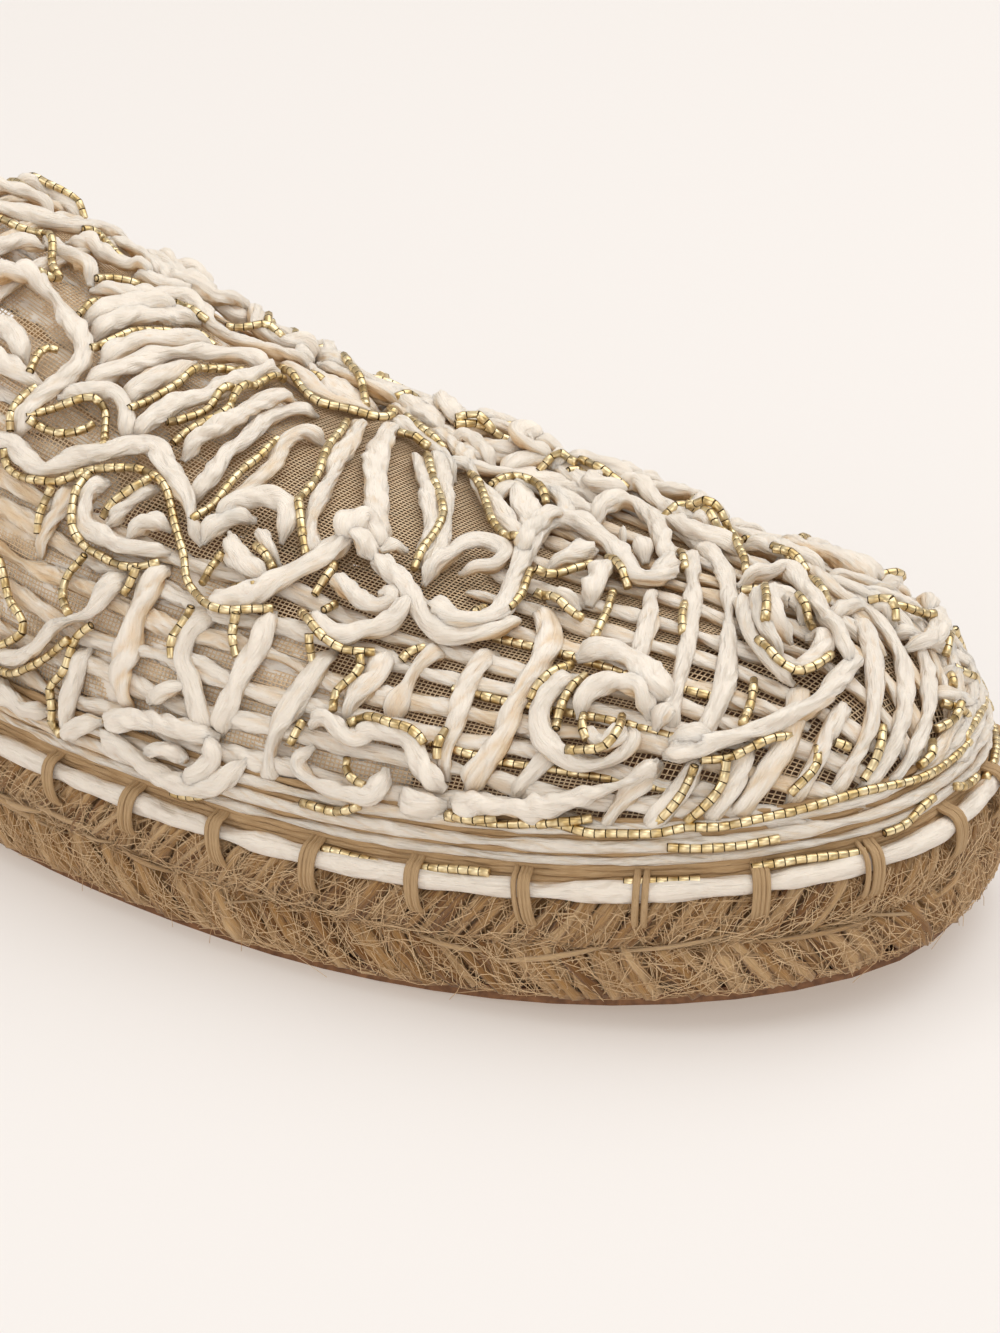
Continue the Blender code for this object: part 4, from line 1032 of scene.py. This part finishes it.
# Raffia ornament: cords of bunched raffia couched on the strips in garlands, rosettes, scrolls and
# ribbons. Where two cross, the later one rides over the earlier one.
CORD_WIDE, CORD_HIGH, CORD_OUT = 1.20 * MM, 0.95 * MM, 2.60 * MM
CORD_RISE, CORD_REACH, CORD_MOST = 1.5 * MM, 2.5 * MM, 5.2 * MM
CORD_ROLL, CORD_FOLD, CORD_TONE, CORD_TONE_VARIES = 0.6, 0.26, 0.78, 0.22
SOFT_HEIGHT = 5                     # times that a cord's heights are softened
SCROLLS = 4                         # on each side of the solid part
ORNAMENT_ROUTES = {
    "ribbon_01": [(91, 287), (121, 298), (152, 304), (182, 304), (195, 313), (208, 330), (228, 343),
                  (260, 354), (282, 359), (314, 367)],
    "ribbon_02": [(134, 274), (152, 287), (173, 296), (195, 302), (208, 311)],
    "ribbon_03": [(-30, 208), (0, 213), (22, 218), (50, 226), (76, 233), (100, 233), (121, 237),
                  (134, 246)],
    "ribbon_04": [(45, 240), (58, 255), (74, 261), (87, 272), (91, 285)],
    "ribbon_05": [(82, 387), (108, 376), (141, 365), (173, 359), (217, 359), (249, 363), (273, 372)],
    "ribbon_06": [(121, 406), (147, 387), (173, 376), (195, 365)],
    "ribbon_07": [(134, 437), (156, 419), (178, 406), (206, 400), (228, 391), (260, 378), (280, 374)],
    "ribbon_08": [(182, 458), (202, 441), (228, 428), (249, 413), (280, 400), (297, 398)],
    "ribbon_09": [(-35, 325), (0, 330), (13, 337), (22, 354), (26, 365)],
    "ribbon_10": [(-35, 360), (0, 365), (17, 374), (43, 385)],
    "ribbon_11": [(-25, 188), (0, 192), (22, 198), (43, 207), (56, 215)],
    "ribbon_12": [(92, 338), (112, 326), (140, 320), (170, 320), (200, 328)],
    "ribbon_13": [(100, 366), (122, 352), (150, 344), (180, 347), (212, 354)],
    "ribbon_14": [(66, 240), (90, 250), (115, 266), (135, 274), (150, 285)],
    "ribbon_15": [(-30, 258), (0, 250), (22, 246), (45, 252)],
    "ribbon_16": [(205, 300), (230, 318), (262, 330), (300, 348), (325, 362)],
    "ribbon_17": [(150, 262), (170, 272), (186, 284), (205, 296)],
    "ribbon_18": [(-20, 165), (20, 172), (45, 180), (62, 192), (88, 214)],
    "ribbon_19": [(-30, 270), (0, 272), (20, 276), (40, 290)],
    "ribbon_20": [(318, 365), (345, 382), (372, 396), (398, 405), (420, 418), (445, 432)],
    "ribbon_21": [(84, 322), (105, 313), (130, 310), (155, 312), (175, 318)],
    "far_1": [(412, 408), (432, 418), (452, 424), (474, 428), (500, 436), (522, 444), (545, 452)],
    "far_2": [(448, 436), (464, 440), (480, 452), (494, 464)],
    "far_3": [(486, 452), (505, 458), (526, 456), (546, 460), (570, 470)],
    "far_4": [(500, 472), (524, 466), (548, 470), (572, 482), (596, 494)],
    "far_5": [(560, 468), (590, 478), (620, 490), (648, 502)],
    "far_6": [(600, 500), (628, 496), (655, 506), (680, 520), (704, 534)],
    "far_7": [(662, 520), (690, 536), (716, 544), (742, 552)],
    "far_8": [(740, 545), (768, 552), (800, 562), (828, 572)],
    "branch_01": [(449, 801), (477, 805), (509, 807), (542, 809), (574, 799), (600, 792), (622, 785),
                  (644, 774), (658, 760)],
    "branch_02": [(663, 755), (693, 751), (715, 744), (737, 738), (759, 731), (791, 718), (813, 708),
                  (830, 690), (845, 672), (862, 658)],
    "branch_03": [(670, 742), (700, 738), (715, 738)],
    "branch_04": [(125, 572), (108, 595), (92, 615), (75, 620), (58, 628), (42, 645), (20, 658), (0, 652),
                  (-30, 640)],
    "branch_05": [(102, 723), (130, 719), (160, 723), (191, 732), (217, 738)],
    "left_knot_1": [(98, 736), (125, 745), (150, 765), (180, 781), (205, 786), (232, 776), (246, 760)],
    "left_knot_2": [(208, 735), (218, 752), (208, 770), (186, 776)],
    "left_knot_3": [(148, 752), (170, 748), (190, 760)],
    "left_knot_4": [(-10, 684), (10, 694), (26, 706), (48, 714)],
    "left_knot_5": [(64, 738), (84, 724), (104, 722)],
    "left_knot_6": [(148, 703), (165, 692), (186, 682)],
    "scroll_low_1": [(310, 727), (327, 720), (342, 731), (358, 740), (373, 731), (394, 736), (412, 740),
                     (420, 759), (431, 777), (444, 790)],
    "scroll_low_2": [(384, 768), (381, 788), (373, 796), (355, 794), (332, 790), (310, 777), (299, 762),
                     (312, 746)],
    "scroll_low_3": [(398, 800), (420, 806), (446, 808)],
    "scroll_big_1": [(576, 655), (600, 653), (624, 658), (641, 671), (659, 690), (676, 699)],
    "scroll_big_2": [(574, 673), (550, 697), (540, 716), (544, 738), (559, 755), (581, 766), (607, 764),
                     (626, 755), (633, 738), (628, 727)],
    "scroll_big_3": [(579, 718), (585, 699), (602, 688), (624, 686), (641, 695), (650, 718)],
    "scroll_big_4": [(581, 725), (592, 738), (607, 749), (620, 740), (622, 727)],
    "scroll_big_5": [(654, 729), (663, 712), (672, 703)],
    "scroll_front_1": [(741, 597), (745, 620), (751, 642), (763, 660), (778, 674), (795, 682)],
    "scroll_front_2": [(753, 598), (757, 618), (762, 636), (774, 652), (783, 664)],
    "scroll_front_3": [(804, 622), (798, 608), (785, 603), (773, 611), (769, 627), (776, 641),
                       (791, 646)],
    "scroll_front_4": [(806, 634), (820, 637), (823, 652), (813, 665), (799, 670), (787, 665)],
    "scroll_front_5": [(737, 583), (762, 579), (785, 575), (800, 588), (815, 610), (829, 634), (840, 656),
                       (847, 672)],
    "left_loop": [(-30, 290), (0, 283), (33, 287), (52, 300), (67, 322), (80, 339), (85, 354), (76, 372),
                  (56, 389), (37, 404), (24, 421), (17, 437)],
    "eye_ring": [(58, 400), (87, 395), (110, 395), (124, 408), (128, 426), (126, 441)],
    "garland_1": [(-60, 430), (-25, 440), (13, 447), (28, 460), (48, 473), (65, 467), (87, 458),
                  (113, 454), (143, 448), (156, 450), (165, 468), (180, 487), (189, 504), (193, 521),
                  (202, 543)],
    "garland_2": [(204, 602), (219, 604), (239, 602), (256, 597), (278, 584), (304, 571), (325, 560),
                  (340, 547), (351, 534), (364, 525)],
    "garland_3": [(373, 558), (390, 575), (405, 590), (418, 610), (429, 627), (446, 636), (468, 640),
                  (490, 638), (509, 629), (518, 616)],
    "garland_4": [(427, 608), (438, 612), (455, 627), (477, 629), (496, 623), (505, 605), (516, 579),
                  (525, 555), (540, 536), (557, 525), (577, 527), (592, 536), (602, 543), (618, 558),
                  (628, 573), (637, 584), (654, 586), (667, 575), (670, 560)],
    "side_loop_1": [(108, 480), (93, 491), (87, 508), (87, 528), (102, 537), (121, 547), (147, 552),
                    (169, 552)],
    "side_loop_2": [(128, 545), (143, 528), (160, 524), (171, 528)],
    "side_loop_3": [(108, 528), (124, 513), (141, 498), (158, 487)],
    "rosette_a_1": [(202, 543), (217, 530), (234, 521), (256, 517)],
    "rosette_a_2": [(219, 526), (230, 513), (249, 504), (267, 502), (286, 508), (288, 526), (280, 541)],
    "rosette_a_3": [(230, 534), (234, 550), (247, 565), (269, 580)],
    "rosette_a_4": [(260, 528), (267, 547), (280, 565)],
    "rosette_b_1": [(334, 575), (345, 590), (360, 603), (377, 610), (394, 605), (381, 590)],
    "rosette_b_2": [(310, 612), (323, 627), (340, 638), (364, 634), (386, 629), (403, 616), (405, 601)],
    "rosette_b_3": [(345, 550), (352, 534), (366, 528), (379, 538), (382, 552)],
    "rosette_b_4": [(350, 540), (364, 550), (378, 562)],
    "rosette_b_5": [(380, 556), (392, 551), (407, 547)],
    "small_loop": [(423, 584), (433, 571), (449, 560), (464, 549), (481, 545), (499, 551), (505, 562),
                   (494, 571), (477, 571), (459, 571)],
    "rosette_c_1": [(520, 564), (531, 543), (548, 528), (560, 521)],
    "rosette_c_2": [(596, 525), (602, 512), (618, 508), (635, 510), (650, 521), (659, 538), (668, 565)],
    "rosette_c_3": [(544, 569), (563, 564), (585, 556), (596, 551)],
    "rosette_c_4": [(602, 564), (598, 586), (589, 603)],
    "rosette_c_5": [(548, 597), (563, 601), (579, 608)],
    "rosette_c_6": [(622, 534), (624, 549)],
    "rosette_c_7": [(639, 541), (646, 560)],
}
BROAD_CORDS = {                     # shares of the cords' width
    "branch_02": 0.90, "garland_1": 1.10, "garland_2": 1.15, "garland_3": 1.10, "garland_4": 1.10,
    "left_loop": 1.20, "ribbon_05": 1.15, "ribbon_07": 1.10, "ribbon_12": 1.15, "ribbon_13": 1.15,
    "ribbon_21": 1.15, "rosette_b_3": 1.40, "rosette_b_4": 1.40, "scroll_big_1": 1.20,
    "scroll_front_1": 0.75, "scroll_front_2": 0.65, "scroll_front_3": 0.85, "scroll_front_5": 0.80,
    "scroll_low_3": 1.60,
}


def pile_up(paths, base, rise, reach, most, under=(), sink=1.0):
    """Heights of cords over the last: each one rises over what lies under it already, and eases back.

    A point at distance d from an earlier cord's point lies rise (1 - (d / reach)^2) above that one. The
    ends go down by a share of the tuck. Returns the heights, and all that lies there now.
    """
    laid = list(under)
    heights = []
    for _, line, _ in paths:
        height = np.full(len(line), base)
        for earlier, earlier_height in laid:
            apart = np.linalg.norm(line[:, None] - earlier[None], axis=-1)
            over = earlier_height + rise * (1 - (apart / reach) ** 2)
            height = np.maximum(height, np.where(apart < reach, over, 0.0).max(axis=1))
        height = soften(np.minimum(height, most), SOFT_HEIGHT) - sink * tucked(line)
        laid.append((line, height))
        heights.append(height)
    return heights, laid


ornament_paths = both_sides(ORNAMENT_ROUTES)
ornament_heights, ornament_laid = pile_up(ornament_paths, CORD_OUT, CORD_RISE, CORD_REACH, CORD_MOST)
ornament_parts = [raffia(*over_last(line, normal, height), CORD_WIDE * BROAD_CORDS.get(name, 1.0),
                         CORD_HIGH, rng, CORD_ROLL, CORD_FOLD)
                  for (name, line, normal), height in zip(ornament_paths, ornament_heights)]
ornament_tones = CORD_TONE + CORD_TONE_VARIES * rng.random(len(ornament_parts))
ornament = add_raffia("raffia_ornament", ornament_parts, ornament_tones)
covered = ["flower"]
for side in ("outer", "inner"):
    covered += [f"garland_{side}", *[f"scroll_{side}_{number}" for number in range(1, SCROLLS + 1)]]
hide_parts(*covered)


# Gold bead wire: small gilt tubes threaded on a wire, couched beside the raffia and across the net, and
# in short rows between the raffia at the toe.
BEAD_RADIUS, BEAD_PITCH, BEAD_OUT, BEAD_SIDES = 0.54 * MM, 1.25 * MM, 2.35 * MM, 7
BEAD_RISE, BEAD_REACH, BEAD_MOST = 1.35 * MM, 1.9 * MM, 5.6 * MM
BEAD_SINK = 0.4                     # share of the tuck at a wire's ends
BEAD_VARIES = 0.05                  # beads differ this much in radius
BEAD_FORM = np.array([              # share of a bead, share of its radius, dark joint
    (0.00, 0.95, 1), (0.08, 0.95, 1), (0.12, 1.00, 0), (0.96, 1.00, 0),
])
GOLD_STOPS = [(0.35, (0.555, 0.400, 0.180)), (0.60, (0.890, 0.740, 0.460))]
GOLD_JOINT, JOINT_FROM, JOINT_TO = (0.050, 0.028, 0.010), 0.45, 0.85
GOLD_ROUGHNESS, TARNISH_SCALE, TARNISH_DETAIL = 0.36, 700.0, 2.0
MIX_A, MIX_B, MIX_RESULT = 6, 7, 2  # places of a mix node's colour sockets
GOLD_TOP = [
    [(-25, 160), (0, 174), (22, 190), (45, 205)],
    [(8, 178), (50, 198), (85, 218)],
    [(-25, 216), (0, 222), (20, 232), (43, 240), (50, 252), (52, 270), (60, 283), (38, 285)],
    [(80, 237), (98, 240), (108, 250), (121, 263), (130, 265)],
    [(95, 283), (108, 281), (126, 284), (147, 291)],
    [(78, 320), (91, 309), (104, 302)],
    [(171, 312), (184, 314), (195, 324), (204, 330)],
    [(90, 356), (104, 351), (121, 343), (139, 335), (156, 334), (180, 336), (199, 337), (214, 346)],
    [(225, 326), (245, 334), (260, 338), (278, 348)],
    [(130, 417), (152, 402), (178, 387), (199, 374), (217, 372), (243, 375)],
    [(167, 425), (191, 420), (208, 413), (223, 398), (238, 395)],
    [(173, 443), (199, 428), (225, 419), (234, 404), (252, 393), (267, 385), (284, 380)],
    [(280, 367), (293, 382), (306, 397), (323, 408), (342, 411), (360, 416), (377, 421), (392, 419),
     (390, 408)],
    [(310, 373), (323, 380)],
    [(336, 373), (351, 386), (362, 397), (366, 406)],
    [(33, 378), (37, 361), (48, 348), (58, 350)],
    [(13, 434), (15, 419), (24, 402), (39, 391)],
    [(30, 421), (50, 413), (74, 407), (98, 404), (106, 413), (106, 430), (106, 452)],
    [(33, 426), (48, 433), (65, 436), (82, 433), (95, 426)],
    [(347, 421), (342, 432), (329, 447), (323, 460), (319, 475), (308, 493), (299, 503), (301, 521),
     (303, 538), (306, 555)],
    [(427, 454), (431, 477), (440, 501), (443, 516), (436, 534), (423, 551), (414, 569)],
    [(399, 432), (416, 441), (429, 447)],
    [(405, 419), (418, 430), (433, 441), (444, 449)],
    [(470, 473), (479, 488), (486, 508), (492, 525), (503, 538), (516, 555)],
    [(490, 488), (501, 482), (516, 480), (531, 484), (542, 493), (546, 503)],
    [(538, 473), (553, 473), (572, 480)],
    [(575, 478), (598, 490), (625, 500)],
    [(452, 430), (472, 436), (490, 442)],
    [(700, 528), (722, 540), (740, 548)],
    [(770, 555), (787, 562), (800, 572)],
]
GOLD_GARLAND = [
    [(9, 452), (9, 467), (22, 478), (43, 484), (61, 484), (78, 476), (100, 471), (121, 470), (139, 471),
     (156, 480), (169, 495), (173, 513), (180, 539), (186, 560), (189, 584), (199, 597), (212, 610),
     (230, 615), (252, 612), (273, 608)],
    [(93, 476), (82, 491), (78, 513), (78, 532), (89, 550), (104, 558), (121, 567), (141, 569),
     (160, 563)],
    [(104, 521), (117, 508), (134, 498), (152, 485)],
    [(193, 528), (210, 513), (225, 493), (241, 474), (260, 459), (277, 439)],
    [(225, 556), (212, 569), (204, 586)],
    [(256, 550), (267, 560), (275, 573)],
    [(234, 589), (245, 591), (258, 591)],
    [(314, 595), (325, 582), (336, 566)],
    [(325, 614), (336, 603)],
    [(301, 612), (314, 629), (327, 644), (347, 653), (375, 652)],
    [(401, 660), (412, 651), (425, 647)],
    [(477, 623), (485, 608)],
    [(509, 618), (520, 605), (527, 588), (531, 575)],
    [(535, 579), (553, 579), (572, 573), (592, 566)],
    [(535, 599), (551, 603), (570, 614), (583, 618)],
    [(607, 562), (618, 575), (628, 590)],
    [(613, 592), (607, 616), (594, 638)],
]
GOLD_SIDE = [
    [(-25, 545), (0, 556), (7, 578), (13, 602), (24, 617), (28, 628), (15, 641), (0, 647)],
    [(37, 534), (41, 517), (48, 502), (56, 491)],
    [(89, 558), (72, 573), (65, 589), (69, 608), (76, 615)],
    [(141, 571), (132, 586), (124, 595)],
    [(95, 626), (78, 639), (72, 656), (67, 671), (52, 688), (56, 708), (54, 723), (65, 734)],
    [(-20, 662), (0, 668), (15, 673), (35, 667), (60, 650), (75, 640)],
    [(195, 610), (184, 625), (173, 639), (171, 658)],
    [(241, 619), (234, 636), (236, 656)],
    [(314, 642), (312, 660)],
    [(362, 658), (362, 671), (347, 684), (336, 694), (336, 712)],
    [(680, 554), (685, 571)],
    [(685, 603), (682, 621), (683, 634)],
    [(732, 547), (743, 560), (746, 571)],
    [(741, 590), (761, 593), (776, 593)],
    [(795, 606), (804, 619), (811, 632)],
    [(808, 582), (815, 595), (824, 612)],
    [(756, 649), (765, 660), (780, 675), (795, 679), (813, 675), (828, 662)],
    [(772, 560), (791, 567), (806, 575)],
    [(754, 679), (752, 697), (748, 714), (741, 729)],
    [(700, 762), (726, 760), (748, 751), (769, 742), (791, 736)],
    [(531, 703), (542, 688), (557, 675), (572, 664)],
    [(557, 731), (561, 710), (572, 692), (585, 675)],
    [(585, 716), (583, 731), (589, 744)],
    [(568, 753), (589, 755), (609, 753), (618, 744), (622, 734), (622, 716)],
    [(351, 726), (364, 720), (377, 720), (394, 727), (412, 731), (423, 738), (427, 746)],
    [(303, 720), (297, 733), (290, 744)],
    [(446, 729), (440, 744), (438, 759)],
    [(347, 757), (347, 770), (355, 779), (368, 785)],
    [(301, 803), (316, 805), (334, 811), (351, 809), (364, 805)],
    [(446, 814), (464, 818), (485, 819), (499, 818)],
    [(538, 824), (555, 822), (581, 820), (592, 818)],
    [(695, 768), (681, 796), (667, 813), (655, 824)],
    [(726, 763), (723, 782), (706, 805), (686, 822)],
    [(818, 746), (815, 768), (801, 782), (790, 794)],
    [(863, 780), (871, 766), (880, 740), (883, 726)],
    [(933, 740), (928, 757), (919, 766)],
    [(953, 707), (950, 721), (936, 729)],
    [(761, 597), (762, 612), (763, 630), (762, 640)],
    [(940, 640), (946, 655)],
    [(835, 742), (850, 748)],
]
GOLD_ROWS = np.concatenate([ROW_LOW[2::2], 1 - ROW_LOW[2::2], ROW_HIGH_UP[:1]])
GOLD_ROW_FROM, GOLD_ROW_TO, GOLD_ROW_BELOW, GOLD_ROW_OUT = 76 * MM, 104 * MM, 0.011, 0.9 * MM
GOLD_ROW_POINTS, GOLD_ROW_SWAY, GOLD_ROW_WAVE = 120, 0.003, 20 * MM


def bead_wire(point, normal):
    """Tubes on a wire: the radius follows each bead's form, and the joints are marked for the material."""
    way, line, out = evenly(BEAD_PITCH / len(BEAD_FORM), point, normal)
    beads = max(int(round(way[-1] / BEAD_PITCH)), 1)
    phase = (np.arange(beads)[:, None] + BEAD_FORM[:, 0]).ravel()
    place = np.append(phase, beads) / beads * way[-1]
    own = 1 + BEAD_VARIES * rng.standard_normal((beads, 1))
    radius = BEAD_RADIUS * np.append((own * BEAD_FORM[:, 1]).ravel(), BEAD_FORM[0, 1])
    centre, up = [between(place, way, values) for values in (line, out)]
    part = swept(centre[None], unit(up)[None], radius[None], radius[None], BEAD_SIDES)
    joint = np.append(np.tile(BEAD_FORM[:, 2], beads), 0.0)
    return part, np.concatenate([np.repeat(joint, BEAD_SIDES), [0.0, 0.0]])


def add_gold(name, lines):
    """Bead wires along several lines, as one piece."""
    parts, joints = zip(*[bead_wire(point, normal) for point, normal in lines])
    return add_piece(name, joined(parts), gold, np.concatenate(joints))


gold, gold_tree, gold_shader = new_material("gilt_bead", GOLD_ROUGHNESS, Metallic=1.0)
joint = add_node(gold_tree, "ShaderNodeAttribute", attribute_name="tone").outputs["Fac"]
place = add_node(gold_tree, "ShaderNodeTexCoord").outputs["Object"]
tarnish = add_node(gold_tree, "ShaderNodeTexNoise",
                   {"Vector": place, "Scale": TARNISH_SCALE, "Detail": TARNISH_DETAIL}).outputs["Fac"]
dark = add_node(gold_tree, "ShaderNodeMapRange",
                {"Value": joint, "From Min": JOINT_FROM, "From Max": JOINT_TO}).outputs["Result"]
gilt = add_node(gold_tree, "ShaderNodeMix", {
    "Factor": dark, MIX_A: colour_ramp(gold_tree, tarnish, GOLD_STOPS), MIX_B: (*GOLD_JOINT, 1.0)},
    data_type="RGBA").outputs[MIX_RESULT]
gold_tree.links.new(gilt, gold_shader.inputs["Base Color"])

gold_paths = both_sides({f"wire_{n}": route for n, route in enumerate(GOLD_TOP + GOLD_GARLAND + GOLD_SIDE)})
gold_heights = pile_up(gold_paths, BEAD_OUT, BEAD_RISE, BEAD_REACH, BEAD_MOST, ornament_laid, BEAD_SINK)[0]
gold_lines = [over_last(line, normal, height)
              for (_, line, normal), height in zip(gold_paths, gold_heights)]
x = np.linspace(GOLD_ROW_FROM, GOLD_ROW_TO, GOLD_ROW_POINTS)
for q in GOLD_ROWS:
    below = -GOLD_ROW_BELOW if q < 0.5 else GOLD_ROW_BELOW
    sway = GOLD_ROW_SWAY * wander(x, GOLD_ROW_WAVE, rng)
    gold_lines.append(on_skin(x, q + below + sway, GOLD_ROW_OUT))
add_gold("gold_wire", gold_lines)


# Ribbed band: at its foot the upper has a flat tape of tan jute yarns, and sewn over it rows of raffia
# that run round the toe, with gold wire between them and a waving one on top.
BAND_ROWS = np.array([              # distance up the wall, half width, height over the last in mm
    (3.90, 0.55, 1.10), (5.45, 0.80, 1.35), (7.25, 0.70, 1.30),
])
BAND_HIGH, BAND_STEP, BAND_ROLL, BAND_FOLD = 0.70 * MM, 1.0 * MM, 0.25, 0.12
BAND_TONE, BAND_TONE_VARIES, BAND_HEEL_DROP = 0.65, 0.2, 0.6
TAPE_AT, TAPE_WIDE, TAPE_HIGH, TAPE_OUT = 3.9 * MM, 3.6 * MM, 0.35 * MM, 0.55 * MM
TAPE_STEP, TAPE_SIDES = 1.2 * MM, 14
TAPE_STOPS = [(0.25, (0.400, 0.240, 0.105)), (0.55, (0.520, 0.345, 0.180)), (0.85, (0.680, 0.500, 0.310))]
YARN_ROWS = np.array([1.55, 2.35, 3.10, 4.70, 6.40, 8.10]) * MM
YARN_WIDE, YARN_HIGH, YARN_OUT = 0.48 * MM, 0.40 * MM, 0.85 * MM
YARN_STEP, YARN_SIDES, YARN_VARIES, YARN_WAVE = 1.3 * MM, 7, 0.25, 5 * MM
WALL_POINTS, WALL_CLIMBS, SOFT_WALL = 900, 90, 30
BAND_GOLD_OUT = 2.0 * MM
BAND_GOLD = {
    "top": [(446, 816), (500, 824), (560, 824), (590, 833), (616, 833), (658, 833), (686, 827),
            (717, 827), (756, 819), (798, 810), (829, 801), (863, 791), (883, 787), (922, 777),
            (950, 760), (968, 742)],
    "middle": [(667, 847), (700, 848), (740, 845), (779, 838)],
    "left": [(173, 792), (190, 797), (212, 793)],
    "tape_1": [(314, 848), (334, 850), (351, 855), (368, 860), (399, 868)],
    "tape_2": [(420, 867), (444, 868), (466, 869), (490, 872)],
    "tape_3": [(751, 867), (779, 862), (813, 857), (841, 854), (866, 850)],
    "tape_4": [(883, 833), (905, 824), (922, 810), (939, 802)],
    "tape_5": [(624, 882), (650, 881), (676, 880), (700, 879)],
}

wall_reach = np.sqrt(1 - UPPER_BACK)
wall_share = np.linspace(-wall_reach, wall_reach, WALL_POINTS)      # outer back end, toe at 0, inner one
wall_at = 1 - wall_share**2


def round_wall(up, out):
    """Line at a distance up the wall, from the outer back end round the toe to the inner one."""
    points = np.empty((WALL_POINTS, 3))
    for side, mine in ((OUTER, wall_share < 0), (INNER, wall_share >= 0)):
        walls = skin(side, wall_at[mine][:, None], np.linspace(0, 1, WALL_CLIMBS))
        points[mine] = [between(up, way, wall) for way, wall in zip(distance_along(walls), walls)]
    normal = cell_normals(nearest(points)[1], SOFT_WALL)
    return points + out * normal, normal


tan_tape = fibre_material("jute_tape", TAPE_STOPS, roughness=0.8, stretch=(0.3, 9.0), bump=1.0,
                          relief=0.4 * MM)
tape_line, tape_normal = evenly(TAPE_STEP, *round_wall(TAPE_AT, TAPE_OUT))[1:]
tape_parts = [swept(tape_line[None], tape_normal[None], TAPE_WIDE, TAPE_HIGH, TAPE_SIDES)]
for up in YARN_ROWS:
    way, yarn_line, yarn_normal = evenly(YARN_STEP, *round_wall(up, YARN_OUT))
    waver = 1 + YARN_VARIES * wander(way, YARN_WAVE, rng)[None]
    tape_parts.append(swept(yarn_line[None], yarn_normal[None], YARN_WIDE * waver, YARN_HIGH * waver,
                            YARN_SIDES))
tape = add_piece("jute_tape", joined(tape_parts), tan_tape)
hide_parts("upper")
band_parts = [raffia(*round_wall(up * MM, out * MM), wide * MM, BAND_HIGH, rng, BAND_ROLL, BAND_FOLD,
                     BAND_STEP)
              for up, wide, out in BAND_ROWS]
band_tones = BAND_TONE + BAND_TONE_VARIES * rng.random(len(band_parts))
band = add_raffia("raffia_band", band_parts, band_tones, BAND_HEEL_DROP)
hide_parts("upper")
add_gold("gold_band", [over_last(line, normal, BAND_GOLD_OUT) for _, line, normal in both_sides(BAND_GOLD)])


# Piping: a white raffia cord in the seam between upper and sole, and whip stitches of tan jute thread
# that go over it from the tape into the braid, every 13 mm.
PIPE_RADIUS, PIPE_INSET, PIPE_SINK = 1.25 * MM, 1.0 * MM, 0.5 * MM
PIPE_ROLL, PIPE_FOLD, PIPE_TONE, SOFT_PIPE = 0.1, 0.05, 0.95, 20
STITCH_PITCH, STITCH_STEPS = 13 * MM, 15
STITCH_PATH = np.array([            # out from the piping's middle, up from it, in mm
    (-2.3, 3.1), (-1.5, 2.3), (-0.5, 1.85), (0.6, 1.65), (1.35, 1.05), (1.75, 0.1), (1.85, -0.9),
    (1.80, -1.9), (1.55, -2.9), (0.9, -3.8), (-0.4, -4.5),
])
STITCH_PLIES = np.array([-0.72, -0.24, 0.24, 0.72]) * MM
STITCH_THREAD, STITCH_SIDES, STITCH_STRAY = 0.33 * MM, 7, 0.12 * MM
STITCH_LEAN = (-0.22, 0.12)         # sideways, for each millimetre up

pipe_plan = feather(np.where(wall_share < 0, OUTER, INNER), angle_at(wall_at), PIPE_INSET)
pipe_line = raised(pipe_plan, SOLE_TOP + GAP + PIPE_RADIUS - PIPE_SINK + lift(pipe_plan[:, 0]))
pipe_along = unit(np.gradient(soften(pipe_line, SOFT_PIPE), axis=0))
pipe_out = unit(raised(np.stack([pipe_along[:, 1], -pipe_along[:, 0]], axis=-1), 0.0))
pipe_cord = raffia(pipe_line, pipe_out, PIPE_RADIUS, PIPE_RADIUS, rng, PIPE_ROLL, PIPE_FOLD)
pipe = add_raffia("raffia_piping", [pipe_cord], [PIPE_TONE])
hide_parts("edge_cord")

stitch_at, stitch_out = evenly(STITCH_PITCH, pipe_line, pipe_out)[1:]
stitch_along = raised(np.stack([-stitch_out[:, 1], stitch_out[:, 0]], axis=-1), 0.0)
path_rows = np.arange(len(STITCH_PATH), dtype=float)
profile = smoothly(np.linspace(0, path_rows[-1], STITCH_STEPS), path_rows, STITCH_PATH * MM)
slope = np.gradient(profile, axis=0)
face = unit(slope[:, :1] * np.array([0.0, 0.0, 1.0]) - slope[:, 1:] * stitch_out[:, None])
lean = rng.uniform(*STITCH_LEAN, (len(stitch_at), 1))
stitch_parts = []
for ply in STITCH_PLIES:
    beside = ply + lean * profile[:, 1] + STITCH_STRAY * rng.standard_normal((len(stitch_at), 1))
    centre = stitch_at[:, None] + profile[:, :1] * stitch_out[:, None]
    centre = centre + beside[..., None] * stitch_along[:, None]
    centre[..., 2] += profile[:, 1]
    stitch_parts.append(swept(centre, face, STITCH_THREAD, STITCH_THREAD, STITCH_SIDES))
add_piece("whip_stitches", joined(stitch_parts), tan_tape)


# Binding: a folded raffia tape sewn round the upper's back edge, from the seam on one side over the
# instep to the seam on the other.
BINDING_WIDE, BINDING_HIGH, BINDING_OUT = 2.1 * MM, 1.25 * MM, 0.6 * MM
BINDING_POINTS, BINDING_ROLL, BINDING_FOLD, BINDING_TONE = 400, 0.1, 0.08, 0.7

q = np.linspace(0.0, 1.0, BINDING_POINTS)
binding_cord = raffia(*on_skin(throat_x(q), q, BINDING_OUT), BINDING_WIDE, BINDING_HIGH, rng, BINDING_ROLL,
                      BINDING_FOLD)
binding = add_raffia("raffia_binding", [binding_cord], [BINDING_TONE])
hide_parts("upper")
